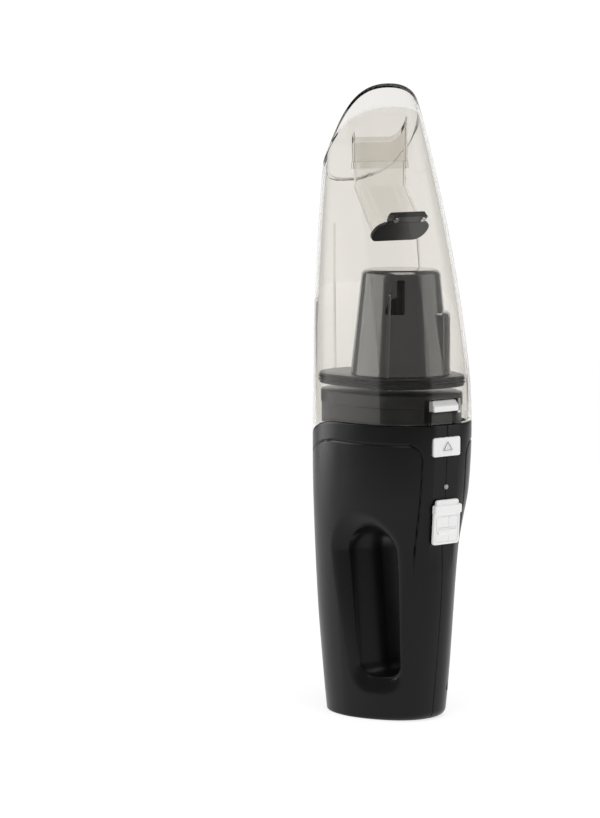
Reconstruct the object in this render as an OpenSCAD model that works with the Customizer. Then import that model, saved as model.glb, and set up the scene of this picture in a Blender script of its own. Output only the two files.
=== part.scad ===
// Cordless handheld vacuum with a clear dust cup, kept standing on its tail.
// Frame: +Z runs up to the nozzle, the front with the controls faces -Y,
// and the origin is the centre of the tail's flat face. Millimetres.
// In the comments "depth" is measured forwards from the axis, so depth = -Y.

/* [Overall] */
// Height from the tail face to the nozzle's tip
body_h = 412; // [406:1:416]
// Widest measure across the body
body_w = 86; // [84:1:90]
// Deepest measure from front to rear
body_d = 109; // [107:1:113]
// Height of the joint between handle and dust cup
joint_z = 194; // [192:1:196]

/* [Walls] */
// Wall of the handle's two half shells
shell_t = 2.6; // [2.2:0.1:3]
// Wall of the clear dust cup
cup_t = 2.2; // [1.8:0.1:2.6]
// Gap between the dust cup's skirt and the handle
joint_gap = 0.6; // [0.4:0.1:1]

/* [Finger slot] */
// Lowest point of the straight part of the slot
slot_z0 = 31; // [28:1:36]
// Highest point of the straight part of the slot
slot_z1 = 121; // [116:1:123]
// Depth of the slot's rear wall
slot_rear = 6; // [4:0.5:8]
// Depth of the slot's front wall
slot_front = 30; // [28:0.5:31]

/* [Controls] */
// Width of the release button
button_w = 23.6; // [22:0.2:26]
// Height of the release button
button_h = 12.4; // [11:0.2:13]
// Travel of the release button
button_travel = 3; // [2:0.5:3]
// Width of the power slider
slider_w = 22.6; // [21:0.2:26]
// Length of the power slider
slider_l = 29; // [27:0.5:30]
// Travel of the power slider
slider_travel = 5; // [4:0.5:5]

/* [Suction path] */
// Width of the inlet collar
inlet_w = 42; // [38:0.5:43]
// Depth of the inlet collar
inlet_d = 16; // [14:0.5:17]
// Radius of the filter cone at its base
filter_r = 32.5; // [30:0.5:33]
// Height of the filter cone
filter_h = 68; // [60:1:69]

/* [Hidden] */
$fn = 64;
eps = 0.01;

// ---- outline of the body: every curve is [height, value] ----
kw = body_w / 86;
kd = body_d / 109;
front_curve = [[0, 41], [20, 43.5], [70, 48.5], [120, 51.5], [160, 54], [194, 55], [224, 53.5],
    [269, 46], [319, 33.5], [359, 19.5], [390, 6.5], [412, -2.5], [424, -7]];
rear_curve = [[0, 43], [24, 45.5], [69, 49], [119, 52], [160, 53.5], [224, 53.5], [269, 52.5],
    [319, 49], [359, 44], [390, 38], [412, 32], [424, 28]];
half_curve = [[0, 34.5], [24, 36.5], [69, 40], [119, 42], [159, 43], [194, 43], [224, 42.5],
    [269, 41.5], [319, 39], [359, 36.8], [390, 34.3], [412, 29], [424, 25]];
// depth at which the section is widest
mid_curve = [[0, -6], [110, -5], [194, 0], [269, -4], [339, -10], [412, -16], [424, -17]];
// superellipse exponents: how full the front is, and how flat the front face is
front_power = [[0, 1.6], [30, 1.5], [70, 1.3], [112, 1.45], [130, 1.9], [150, 2.6], [194, 2.7],
    [269, 2.4], [424, 2.2]];
side_power = [[0, 2.3], [110, 2.3], [194, 2.5], [300, 2.4], [380, 2.3], [424, 2.1]];
rear_power = 2.35;
// the mouth's rim as seen from the side: [depth, height], the tip stands highest
mouth_curve = [[-60, body_h - 74], [-42, body_h - 61], [-30, body_h - 50], [-19, body_h - 37.5],
    [-9, body_h - 19], [-2.5, body_h - 0.5], [4, body_h + 17]];
// the wall inside the mouth is flat: its height at the collar's middle, and its slope
mouth_wall_z = body_h - 28;
mouth_slope = 1.12;
inlet_depth = -11;
mouth_wall_t = 2;

// smooth curve through the points of a list
function slope_at(p, i) = let (a = p[max(i - 1, 0)], b = p[min(i + 1, len(p) - 1)])
    (b[1] - a[1]) / (b[0] - a[0]);
function cell(p, x, i = 0) = (i >= len(p) - 2 || x < p[i + 1][0]) ? i : cell(p, x, i + 1);
function curve(p, x) = let (
    i = cell(p, x), h = p[i + 1][0] - p[i][0], u = (x - p[i][0]) / h,
    a = slope_at(p, i) * h, b = slope_at(p, i + 1) * h, d = p[i + 1][1] - p[i][1])
    p[i][1] + a * u + (3 * d - 2 * a - b) * u * u + (a + b - 2 * d) * u * u * u;

// point of the outline at angle t (0 front, 90 right, 180 rear), moved in by "inset"
function spow(v, e) = sign(v) * pow(abs(v), e);
function rim(t, z, inset = 0) = let (
    mid = curve(mid_curve, z) * kd,
    reach = cos(t) >= 0 ? curve(front_curve, z) * kd - mid : curve(rear_curve, z) * kd + mid,
    power = cos(t) >= 0 ? curve(front_power, z) : rear_power,
    depth = mid + (reach - inset) * spow(cos(t), 2 / power),
    side = (curve(half_curve, z) * kw - inset) * spow(sin(t), 2 / curve(side_power, z)))
    [side, -depth, z];

// joint line: level at the front, an arc falling away at the rear
joint_r = 60;
joint_mid = -5;
function joint_line(depth) = depth > joint_mid ? joint_z
    : joint_z - joint_r + sqrt(joint_r * joint_r - pow(depth - joint_mid, 2));
function joint_at(t, z = joint_z, n = 5) = n == 0 ? z
    : joint_at(t, joint_line(-rim(t, z)[1]), n - 1);

// height where the outline at angle t meets the mouth's rim (wall = 0) or a level of its wall
function mouth_limit(depth, wall) = wall == 0 ? curve(mouth_curve, depth)
    : mouth_wall_z + mouth_slope * (depth - inlet_depth) + wall;
function mouth_at(t, inset, wall, lo = 300, hi = 424, n = 22) = let (m = (lo + hi) / 2)
    n == 0 ? m
    : mouth_limit(-rim(t, m, inset)[1], wall) > m ? mouth_at(t, inset, wall, m, hi, n - 1)
    : mouth_at(t, inset, wall, lo, m, n - 1);

// ---- solids from rings of points ----
function ring_faces(m, n) = [for (j = [0:m - 2], i = [0:n - 1], k = [0, 1])
    let (a = j * n + i, b = j * n + (i + 1) % n) k == 0 ? [a, b, b + n] : [a, b + n, a + n]];

// closed skin through rings that run once round, capped by fans at both ends
module capped_skin(rings, first_mid, last_mid) {
    n = len(rings[0]);
    m = len(rings);
    polyhedron(
        points = concat([for (r = rings, p = r) p], [first_mid, last_mid]),
        faces = concat(ring_faces(m, n),
            [for (i = [0:n - 1]) [(i + 1) % n, i, m * n]],
            [for (i = [0:n - 1]) [(m - 1) * n + i, (m - 1) * n + (i + 1) % n, m * n + 1]]));
}

// closed tube: the last ring joins the first again
module ring_skin(rings) {
    n = len(rings[0]);
    m = len(rings);
    polyhedron(
        points = [for (r = rings, p = r) p],
        faces = concat(ring_faces(m, n), [for (i = [0:n - 1], k = [0, 1])
            let (a = (m - 1) * n + i, b = (m - 1) * n + (i + 1) % n)
            k == 0 ? [a, b, (i + 1) % n] : [a, (i + 1) % n, i]]));
}

// upright prism with the neck's outline, moved in by "inset"
neck_z = 213;
neck_steps = 64;
module neck_prism(z0, z1, inset) {
    translate([0, 0, z0]) linear_extrude(z1 - z0) polygon([for (i = [0:neck_steps - 1])
        let (p = rim(360 * i / neck_steps, neck_z, inset)) [p[0], p[1]]]);
}

// rounded rectangle, an exact outline of lines and arcs
module pad2d(w, h, r) {
    square([w - 2 * r, h], center = true);
    square([w, h - 2 * r], center = true);
    for (x = [-1, 1], y = [-1, 1]) translate([x * (w / 2 - r), y * (h / 2 - r)]) circle(r);
}

// plate facing the front: x across, z up, thickness from depth d0 to d1
module front_plate(w, h, r, z, d0, d1) {
    translate([0, -d0, z]) rotate([90, 0, 0]) linear_extrude(d1 - d0) pad2d(w, h, r);
}

// cylinder along X or Y
module rod_x(r, x0, x1, depth, z) {
    translate([x0, -depth, z]) rotate([0, 90, 0]) cylinder(r = r, h = x1 - x0);
}
module rod_y(r, x, d0, d1, z) {
    translate([x, -d0, z]) rotate([90, 0, 0]) cylinder(r = r, h = d1 - d0);
}

// ---- handle ----
// one half shell: the wall's section is swept round from the front seam to the rear seam,
// a little past both, and trimmed at the seam afterwards
spare = 0.5;
shell_steps = 22;
shell_rows = 19;
tail_r = 1.4;
tail_front_r = 4.6;
function tail_round(t) = tail_r + tail_front_r * pow(max(0, cos(t)), 2);
function outer_at(t, j) = let (r = tail_round(t))
    j < 3 ? rim(t, r * (1 - cos(30 * j)), r * (1 - sin(30 * j)))
    : rim(t, r + (joint_at(t) - r) * (j - 3) / (shell_rows - 3));
function inner_at(t, j) = let (z = shell_t + (joint_at(t) - shell_t) * j / shell_rows)
    rim(t, z, shell_t);

module half_shell() {
    n = shell_steps;
    m = shell_rows;
    row = n + 1;
    grid = row * (m + 1);
    floor_mid = curve(mid_curve, 0);
    pts = concat(
        [for (j = [0:m], i = [0:n]) let (p = outer_at(180 * i / n, j))
            [(i == 0 || i == n) ? -spare : p[0], p[1], p[2]]],
        [for (j = [0:m], i = [0:n]) let (p = inner_at(180 * i / n, j))
            [(i == 0 || i == n) ? -spare : p[0], p[1], p[2]]],
        [[-spare, -floor_mid, 0], [-spare, -floor_mid, shell_t]]);
    low = 2 * grid;
    faces = concat(
        [for (j = [0:m - 1], i = [0:n - 1], k = [0, 1]) let (a = j * row + i)
            k == 0 ? [a, a + row, a + row + 1] : [a, a + row + 1, a + 1]],
        [for (j = [0:m - 1], i = [0:n - 1], k = [0, 1]) let (a = grid + j * row + i)
            k == 0 ? [a, a + row + 1, a + row] : [a, a + 1, a + row + 1]],
        [for (i = [0:n - 1], k = [0, 1]) let (a = m * row + i, b = a + grid)
            k == 0 ? [a, b, b + 1] : [a, b + 1, a + 1]],
        [for (i = [0:n - 1]) [i, i + 1, low]],
        [for (i = [0:n - 1]) [grid + i + 1, grid + i, low + 1]],
        [for (s = [0, n], j = [0:m - 1], k = [0, 1]) let (a = j * row + s, b = a + grid,
            f = k == 0 ? [a, b, b + row] : [a, b + row, a + row])
            s == 0 ? f : [f[2], f[1], f[0]]],
        [[0, low, low + 1], [0, low + 1, grid], [n, low + 1, low], [n, n + grid, low + 1]]);
    polyhedron(points = pts, faces = faces);
}

// solid that fills the shell, drawn in by "inset", to trim what is built inside it
module half_fill(inset) {
    n = 12;
    m = 10;
    top = joint_z - 24;
    row = n + 1;
    pts = concat([for (j = [0:m], i = [0:n]) let (z = inset + (top - inset) * j / m,
            p = rim(180 * i / n, z, inset)) [(i == 0 || i == n) ? -2 * spare : p[0], p[1], p[2]]],
        [for (j = [0:m]) let (z = inset + (top - inset) * j / m) [-2 * spare, -curve(mid_curve, z), z]]);
    mid = row * (m + 1);
    polyhedron(points = pts, faces = concat(
        [for (j = [0:m - 1], i = [0:n - 1], k = [0, 1]) let (a = j * row + i)
            k == 0 ? [a, a + row, a + row + 1] : [a, a + row + 1, a + 1]],
        [for (i = [0:n - 1]) [i, i + 1, mid]],
        [for (i = [0:n - 1]) [m * row + i + 1, m * row + i, mid + m]],
        [for (j = [0:m - 1], k = [0, 1]) let (a = j * row)
            k == 0 ? [a, mid + j, mid + j + 1] : [a, mid + j + 1, a + row]],
        [for (j = [0:m - 1], k = [0, 1]) let (a = j * row + n)
            k == 0 ? [a, mid + j + 1, mid + j] : [a, a + row, mid + j + 1]]));
}

// outline of the finger slot seen from the side: arched top, rounded foot, rear edge leaning in.
// "grow" widens it all round, in the order rear, front, up, down
slot_steps = 8;
slot_arch = 11.5;
slot_foot = 8;
slot_lean = 7;
function slot_outline(grow) = let (
    front = slot_front + grow[1], rear = slot_rear - grow[0],
    top = slot_z1 + grow[2], foot = slot_z0 - grow[3],
    arch = min(slot_arch + grow[2], (front - rear) / 2 - 0.2),
    low_r = min(slot_foot + grow[3] / 2, (front - rear - slot_lean) / 2 - 0.2))
    concat(
        [for (i = [0:slot_steps]) let (a = 90 * i / slot_steps)
            [front - arch + arch * cos(a), top - arch + arch * sin(a)]],
        [for (i = [0:slot_steps]) let (a = 90 + 90 * i / slot_steps)
            [rear + arch + arch * cos(a), top - arch + arch * sin(a)]],
        [for (i = [0:slot_steps]) let (a = 180 + 90 * i / slot_steps)
            [rear + slot_lean + low_r + low_r * cos(a), foot + low_r + low_r * sin(a)]],
        [for (i = [0:slot_steps]) let (a = 270 + 90 * i / slot_steps)
            [front - low_r + low_r * cos(a), foot + low_r + low_r * sin(a)]]);
function slot_ring(x, grow) = [for (p = slot_outline(grow)) [x, -p[0], p[1]]];

// flare of the slot at a distance x from the seam: soft, and widest at the skin
flare = [12, 6.5, 11, 9];
flare_from = 15;
flare_to = 40;
flare_rows = 4;
function flare_at(k) = flare * (1 - cos(90 * k / flare_rows));

// space inside the slot, from just across the seam to outside the skin
slot_mid = [-18, 76];
flare_past = 12;
module slot_space(wall) {
    w = [wall, wall, wall, wall];
    capped_skin(concat(
        [slot_ring(-3 * spare, w)],
        [for (k = [0:flare_rows]) slot_ring(flare_from + (flare_to - flare_from) * k / flare_rows,
            flare_at(k) + w)],
        [slot_ring(flare_to + flare_past, flare * 1.6 + w)]),
        concat(-3 * spare, slot_mid), concat(flare_to + flare_past, slot_mid));
}

// places of the screws that draw the halves together: [depth, height, x of the head]
screw_places = [[33, 160, 27], [-38, 158, 24], [-18, 13, 22], [36.5, 20, 9]];
screw_head_r = 3;
screw_head_h = 2.4;
screw_r = 1.5;
screw_tip = -9;
boss_r = 4.6;
// exhaust slots at the rear
vent_rows = 6;
vent_pitch = 5;
vent_z0 = 122;
vent_x = 2.5;
vent_w = 11;
vent_h = 2.4;
// play between a hole and what sits still in it
slip = 0.05;

module half_body(side) {
    difference() {
        union() {
            half_shell();
            intersection() {
                half_fill(1.1);
                union() {
                    slot_space(shell_t);
                    for (s = screw_places) rod_x(boss_r, -3 * spare, 44, s[0], s[1]);
                }
            }
        }
        slot_space(0);
        translate([-20, -70, -10]) cube([20, 140, 220]);
        button_window();
        slider_window();
        rod_y(led_r + slip, 0, 40, 60, led_z);
        rod_y(socket_r + slip, 0, -50, -25, socket_z);
        rod_contact(contact_r + slip, -1, shell_t + 1);
        for (k = [0:vent_rows - 1]) translate([vent_x, 46, vent_z0 + vent_pitch * k])
            cube([vent_w, 12, vent_h]);
        for (s = screw_places) screw_hole(side, s);
    }
}

// the head's recess opens on the right; the thread bites in the left half
module screw_hole(side, s) {
    if (side > 0) {
        rod_x(screw_head_r + 0.3, s[2] - screw_head_h, 50, s[0], s[1]);
        rod_x(screw_r + 0.2, -1, s[2], s[0], s[1]);
    } else {
        rod_x(screw_r + 0.03, -1, -screw_tip + 1, s[0], s[1]);
    }
}

module left_housing() {
    color([0.10, 0.10, 0.11]) mirror([1, 0, 0]) half_body(-1);
}
module right_housing() {
    color([0.12, 0.12, 0.13]) half_body(1);
}

module housing_screws() {
    color("silver") for (s = screw_places) {
        rod_x(screw_r, screw_tip, s[2] - screw_head_h + eps, s[0], s[1]);
        difference() {
            rod_x(screw_head_r, s[2] - screw_head_h, s[2], s[0], s[1]);
            for (a = [0, 90]) translate([s[2] - 1.1, -s[0], s[1]]) rotate([a, 0, 0])
                translate([0, -0.4, -2]) cube([2, 0.8, 4]);
        }
    }
}

// ---- neck, motor and fan ----
cowl_inset = 5.5;
cowl_t = 2.2;
cowl_z0 = 166;
cowl_z1 = 213;
grille_r = 15;
// depth of the front of the release button's retaining flange
flange_d = 48.8;
pocket_w = 32;
pocket_d0 = flange_d - 3.8 - 3 * button_travel;

pocket_t = 2;
pocket_h = 45;
// black neck that the dust cup slides over; a pocket at its front takes the latch
module motor_cowl() {
    color([0.08, 0.08, 0.09]) difference() {
        union() {
            difference() {
                neck_prism(cowl_z0, cowl_z1, cowl_inset);
                neck_prism(cowl_z0 - 1, cowl_z1 - cowl_t, cowl_inset + cowl_t);
            }
            translate([-pocket_w / 2, -46.5, cowl_z0]) cube([pocket_w, 46.5 - pocket_d0, pocket_h]);
        }
        translate([-pocket_w / 2 + pocket_t, -60, cowl_z0 + pocket_t])
            cube([pocket_w - 2 * pocket_t, 60 - pocket_d0 - pocket_t, pocket_h - pocket_t - 1]);
        cylinder(r = grille_r + 0.2, h = 240);
    }
}

// open disc over the fan's eye: rings and spokes
module intake_grille() {
    color([0.16, 0.16, 0.17]) translate([0, 0, cowl_z1 - cowl_t]) {
        for (r = [4, 8.7, 13.4]) difference() {
            cylinder(r = r + 1.6, h = cowl_t);
            translate([0, 0, -1]) cylinder(r = r, h = cowl_t + 2);
        }
        for (a = [0:45:315]) rotate(a) translate([5, -0.7, 0]) cube([9, 1.4, cowl_t]);
    }
}

can_r = 17.5;
can_z0 = 136;
can_z1 = 176;
shaft_r = 1.6;
module motor_can() {
    color("silver") difference() {
        union() {
            translate([0, 0, can_z0]) cylinder(r = can_r, h = can_z1 - can_z0);
            translate([0, 0, can_z0 - 4]) cylinder(r = 5, h = 5);
            translate([0, 0, can_z1 - 1]) cylinder(r = 6, h = 3);
        }
        translate([0, 0, can_z0 + 3]) cylinder(r = can_r - 1.4, h = can_z1 - can_z0 - 6);
        translate([0, 0, can_z0 - 5]) cylinder(r = shaft_r + 0.05, h = 60);
    }
}
module motor_armature() {
    color([0.62, 0.32, 0.14]) translate([0, 0, can_z0 + 6]) difference() {
        union() {
            cylinder(r = 12.6, h = 22);
            translate([0, 0, 22]) cylinder(r = 6, h = 8);
        }
        translate([0, 0, -1]) cylinder(r = shaft_r, h = 40);
        for (a = [0:60:300]) rotate(a) translate([10, -1.2, -1]) cube([4, 2.4, 24]);
    }
}
module motor_shaft() {
    color("gainsboro") translate([0, 0, can_z0 - 3]) cylinder(r = shaft_r, h = 66);
}
module motor_mount() {
    color([0.20, 0.20, 0.21]) difference() {
        union() {
            translate([0, 0, can_z1 - 0.4]) cylinder(r = 33, h = 2);
            translate([0, 0, can_z1 - 14]) cylinder(r = can_r + 2.4, h = 14);
        }
        translate([0, 0, can_z1 - 15]) cylinder(r = can_r + 0.1, h = 15);
        translate([0, 0, can_z1 - 15]) cylinder(r = 7, h = 30);
        for (a = [0:60:300]) rotate(a) translate([26, 0, can_z1 - 2]) cylinder(r = 4.4, h = 6);
    }
}
fan_z = 184;
fan_r = 29.5;
module fan_impeller() {
    color([0.75, 0.76, 0.78]) difference() {
        union() {
            translate([0, 0, fan_z]) cylinder(r = fan_r, h = 1.2);
            translate([0, 0, fan_z + 11]) cylinder(r = fan_r, h = 1.2);
            translate([0, 0, fan_z - 1.5]) cylinder(r = 5, h = 12);
            for (a = [0:40:320]) rotate(a) translate([0, 0, fan_z + 1]) linear_extrude(10.2) blade2d();
        }
        translate([0, 0, fan_z - 3]) cylinder(r = shaft_r, h = 20);
        translate([0, 0, fan_z + 10.9]) cylinder(r = 12, h = 3);
    }
}
// backward curved blade: a slice of a ring
module blade2d() {
    intersection() {
        difference() {
            translate([12, 14]) circle(22);
            translate([12, 14]) circle(20.8);
        }
        difference() {
            circle(fan_r - 0.4);
            circle(11);
        }
        translate([0, -40]) square([40, 40]);
    }
}
module fan_shroud() {
    color([0.70, 0.70, 0.68]) difference() {
        translate([0, 0, can_z1 + 1.6]) cylinder(r = 32.5, h = 22.4);
        translate([0, 0, can_z1]) cylinder(r = 31, h = 22.4);
        cylinder(r = 12.5, h = 240);
    }
}
module motor_gasket() {
    color([0.25, 0.25, 0.25]) translate([0, 0, can_z1 + 24]) difference() {
        cylinder(r = 26, h = cowl_z1 - cowl_t - can_z1 - 24);
        translate([0, 0, -1]) cylinder(r = 17, h = 20);
    }
}
// foam behind the exhaust slots
module exhaust_foam() {
    color([0.18, 0.18, 0.18]) translate([-16, 37.5, vent_z0 - 3])
        cube([32, 8.5, vent_rows * vent_pitch + 3]);
}

// ---- battery, board and charging ----
cell_r = 9.1;
cell_h = 65;
cell_z = 26;
cell_places = [[-10.2, 12], [10.2, 12], [0, 29.5]];
module battery_cells() {
    color([0.16, 0.42, 0.62]) for (c = cell_places) translate([c[0], c[1], cell_z])
        cylinder(r = cell_r, h = cell_h);
}
module battery_tray() {
    color([0.14, 0.14, 0.14]) for (z = [cell_z - 3, cell_z + cell_h + 0.6]) difference() {
        hull() for (c = cell_places) translate([c[0], c[1], z]) cylinder(r = cell_r + 1, h = 2.4, $fn = 32);
        for (c = cell_places) translate([c[0], c[1], z - 1]) cylinder(r = 5, h = 5);
    }
}
module battery_strips() {
    color("silver") {
        for (c = cell_places, z = [cell_z - 0.6, cell_z + cell_h]) translate([c[0], c[1], z])
            cylinder(r = 4.4, h = 0.6);
        translate([-10.2, 10, cell_z + cell_h]) cube([20.4, 4, 0.6]);
    }
}
board_d = 40;
module control_board() {
    color([0.10, 0.35, 0.18]) front_plate(32, 37, 1, 146, board_d, board_d + 1.6);
    color([0.1, 0.1, 0.1]) for (p = [[-9, 157], [8, 160], [10, 148]])
        translate([p[0] - 3, -board_d - eps, p[1] - 2.5]) cube([6, 1.6, 5]);
}
led_z = 154;
led_r = 1.5;
module led_lens() {
    color([0.85, 0.90, 0.95]) union() {
        rod_y(led_r, 0, board_d + 1.6, 54, led_z);
        translate([0, -board_d - 1.6, led_z]) rotate([90, 0, 0]) cylinder(r = 2.3, h = 2);
    }
}
socket_z = 16;
socket_r = 4.6;
plug_r = 2.75;
plug_l = 9.5;
socket_mouth = 45;
module charge_socket() {
    color([0.12, 0.12, 0.12]) difference() {
        rod_y(socket_r, 0, -socket_mouth, -socket_mouth + 16, socket_z);
        rod_y(plug_r, 0, -socket_mouth - 1, -socket_mouth + plug_l, socket_z);
    }
}
contact_r = 4;
contact_x = 13;
contact_rim = 0.6;
module rod_contact(r, z0, z1) {
    translate([contact_x, 0, z0]) cylinder(r = r, h = z1 - z0);
}
module charge_contacts() {
    color("gold") for (m = [0, 1]) mirror([m, 0, 0]) {
        rod_contact(contact_r, 0.2, shell_t + contact_rim);
        translate([contact_x, 0, shell_t + contact_rim - eps]) cylinder(r = 2, h = 2);
    }
}

// ---- controls ----
button_z = 180;
button_face = 55.4;
module button_window() {
    front_plate(button_w + 0.7, button_h + 0.7, 1.8, button_z, 40, 70);
}
// push button with a gently bowed face and a retaining flange behind the strip
module release_button() {
    color([0.90, 0.90, 0.90]) {
        intersection() {
            front_plate(button_w, button_h, 1.5, button_z, flange_d - 0.6, 60);
            translate([0, 70 - button_face, button_z - 20]) cylinder(r = 70, h = 40, $fn = 200);
        }
        front_plate(button_w + 2.6, button_h + 2.4, 1, button_z, flange_d - 1.8, flange_d);
    }
}
hook_z = 206;
hook_w = 21.4;
hook_h = 7;
hook_front = 53.6;
// the hook's upper face slopes back, so that the cup rides over it
hook_ramp = 45;
module latch_hook() {
    color([0.88, 0.88, 0.88]) {
        front_plate(18, 18, 0.8, button_z + button_h / 2 + 10.2, flange_d - 1.8, flange_d);
        difference() {
            front_plate(hook_w, hook_h, 0.8, hook_z, flange_d - eps, hook_front);
            translate([-hook_w / 2 - 1, -hook_front, hook_z]) rotate([hook_ramp, 0, 0])
                translate([0, -10, 0]) cube([hook_w + 2, 20, 10]);
        }
    }
}
spring_coils = 4;
spring_wire = 0.4;
module latch_spring() {
    floor_d = pocket_d0 + pocket_t;
    pitch = (flange_d - 1.8 - floor_d - 2 * spring_wire) / spring_coils;
    color("silver") for (k = [0:spring_coils])
        translate([0, -floor_d - spring_wire - k * pitch, button_z]) rotate([90, 0, 0])
            rotate_extrude() translate([3, 0]) circle(spring_wire, $fn = 16);
}

// the slider lies along the strip, which leans out by this angle
slider_z = 131.5;
strip_lean = 3.2;
slider_base = 52.6;
// the slider's narrower top end, and the raised lip below it for the thumb
slider_tab = 4.4;
lip_h = 5.8;
stem_w = 8;
stem_h = 9;
stem_up = -1.5;
module on_strip() {
    translate([0, -slider_base, slider_z]) rotate([strip_lean, 0, 0]) children();
}
module pad_on_strip(w, h, r, up, d0, d1) {
    on_strip() translate([0, -d0, up]) rotate([90, 0, 0]) linear_extrude(d1 - d0) pad2d(w, h, r);
}
module slider_window() {
    pad_on_strip(stem_w + 3, stem_h + slider_travel + 4, 1, stem_up + slider_travel / 2 + 0.5, -14, 10);
}
module power_slider() {
    color([0.92, 0.92, 0.92]) {
        pad_on_strip(slider_w, slider_l - slider_tab, 2, -slider_tab / 2, 0.3, 2.2);
        pad_on_strip(slider_w - 3, slider_l, 2, 0, 0.3, 2.2);
        pad_on_strip(slider_w + 0.8, lip_h, 1.2, slider_l / 2 - slider_tab - lip_h / 2 + 1.2, 0.3, 3.8);
        for (k = [0, 1]) pad_on_strip(slider_w - 6, 2, 0.9, -3 - 5 * k, 2, 3);
        pad_on_strip(stem_w, stem_h, 1, stem_up, -6, 1);
    }
}
module slide_switch() {
    color([0.15, 0.15, 0.15]) front_plate(20, 9, 0.6, slider_z, board_d + 1.7, board_d + 5.2);
}

// ---- dust cup ----
cup_steps = 60;
cup_rows = 20;
function cup_foot(t) = joint_at(t) + joint_gap;
function cup_out(t, u) = let (a = cup_foot(t), b = mouth_at(t, 0, 0)) rim(t, a + (b - a) * u);
function cup_in(t, u) = let (a = cup_foot(t), b = mouth_at(t, cup_t, -mouth_wall_t))
    rim(t, a + (b - a) * u, cup_t);
function cup_ring_out(u) = [for (i = [0:cup_steps - 1]) cup_out(360 * i / cup_steps, u)];
function cup_ring_in(u) = [for (i = [0:cup_steps - 1]) cup_in(360 * i / cup_steps, u)];
function mouth_ring(wall) = [for (i = [0:cup_steps - 1]) let (t = 360 * i / cup_steps)
    rim(t, mouth_at(t, cup_t, wall), cup_t)];
function wall_mid(wall) = [0, -inlet_depth, mouth_wall_z + wall];

module dust_cup() {
    color([0.82, 0.80, 0.77, 0.45]) difference() {
        capped_skin(concat(
            [for (j = [cup_rows - 6:-1:0]) cup_ring_in(j / (cup_rows - 6))],
            [for (j = [0:cup_rows]) cup_ring_out(j / cup_rows)],
            [mouth_ring(0), mouth_ring(eps)]),
            wall_mid(-mouth_wall_t), wall_mid(eps));
        inlet_prism(inlet_w - 2 * collar_t, inlet_d - 2 * collar_t, mouth_wall_z - 30, mouth_wall_z + 30);
        front_plate(hook_w + 2.6, hook_h + 2.4, 1.2, hook_z, 45, 70);
    }
}

// upright prism over the suction passage
module inlet_prism(w, d, z0, z1) {
    translate([0, -inlet_depth, z0]) linear_extrude(z1 - z0) pad2d(w, d, d / 2 - 1);
}
collar_z0 = body_h - 51;
collar_t = 1.6;
band_h = 4.6;
module inlet_collar() {
    color([0.80, 0.79, 0.76, 0.5]) difference() {
        inlet_prism(inlet_w, inlet_d, collar_z0, mouth_wall_z + 20);
        inlet_prism(inlet_w - 2 * collar_t, inlet_d - 2 * collar_t, collar_z0 - 1, mouth_wall_z + 21);
        translate([0, -inlet_depth, mouth_wall_z - mouth_wall_t - 0.02]) rotate([-atan(mouth_slope), 0, 0])
            translate([-40, -60, 0]) cube([80, 120, 80]);
    }
}
duct_w = inlet_w - 2.6;
duct_d = inlet_d - 2;
duct_t = 1.5;
module duct_band() {
    color([0.74, 0.73, 0.71, 0.7]) difference() {
        inlet_prism(inlet_w + 1, inlet_d + 1, collar_z0 - band_h, collar_z0);
        inlet_prism(duct_w + 0.2, duct_d + 0.2, collar_z0 - 6, collar_z0 + 1);
    }
}

// the flap closes the duct's lower end, on a face that looks down and forwards
flap_tilt = 45;
flap_hinge_d = 13.6;
flap_hinge_z = body_h - 89;
flap_l = 16.5;
flap_w = 46;
flap_t = 1.8;
flap_r = 7.5;
module at_flap() {
    translate([0, -flap_hinge_d, flap_hinge_z]) rotate([-flap_tilt, 0, 0]) children();
}
// ring of the duct: a long oval, at its own depth and height, lying level or on the flap's face
duct_steps = 32;
function oval(w, d, t) = let (r = d / 2 - 1)
    [sign(cos(t)) * (w / 2 - r) + r * cos(t), sign(sin(t)) + r * sin(t)];
function duct_ring(w, d, depth, z, lean) = [for (i = [0:duct_steps - 1])
    let (p = oval(w, d, 360 * i / duct_steps)) [p[0], p[1] - depth, z - p[1] * lean]];
// the duct's lower end: depth of its middle, and its own depth
duct_foot_d = 7;
foot_d = 10.4;
duct_bend_z = collar_z0 - 16;
module inlet_duct() {
    foot_z = flap_hinge_z + 0.4 - (flap_hinge_d - duct_foot_d) * tan(flap_tilt);
    outer = [[duct_w, duct_d, inlet_depth, collar_z0, 0], [duct_w, duct_d, inlet_depth, duct_bend_z, 0],
        [duct_w - 1, foot_d, duct_foot_d, foot_z, tan(flap_tilt)]];
    inner = [for (r = outer) [r[0] - 2 * duct_t, r[1] - 2 * duct_t, r[2], r[3], r[4]]];
    color([0.85, 0.85, 0.83, 0.6]) ring_skin([for (r = [inner[0], inner[1], inner[2], outer[2], outer[1],
        outer[0]]) duct_ring(r[0], r[1], r[2], r[3], r[4])]);
}
module flap_valve() {
    color([0.08, 0.08, 0.08]) at_flap() {
        translate([0, flap_l / 2, -flap_t]) linear_extrude(flap_t) pad2d(flap_w, flap_l, flap_r);
        rod_x(flap_t / 2, flap_r - flap_w / 2, flap_w / 2 - flap_r, 0, -flap_t / 2);
    }
}
retainer_w = 30;
retainer_l = 5;
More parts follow.
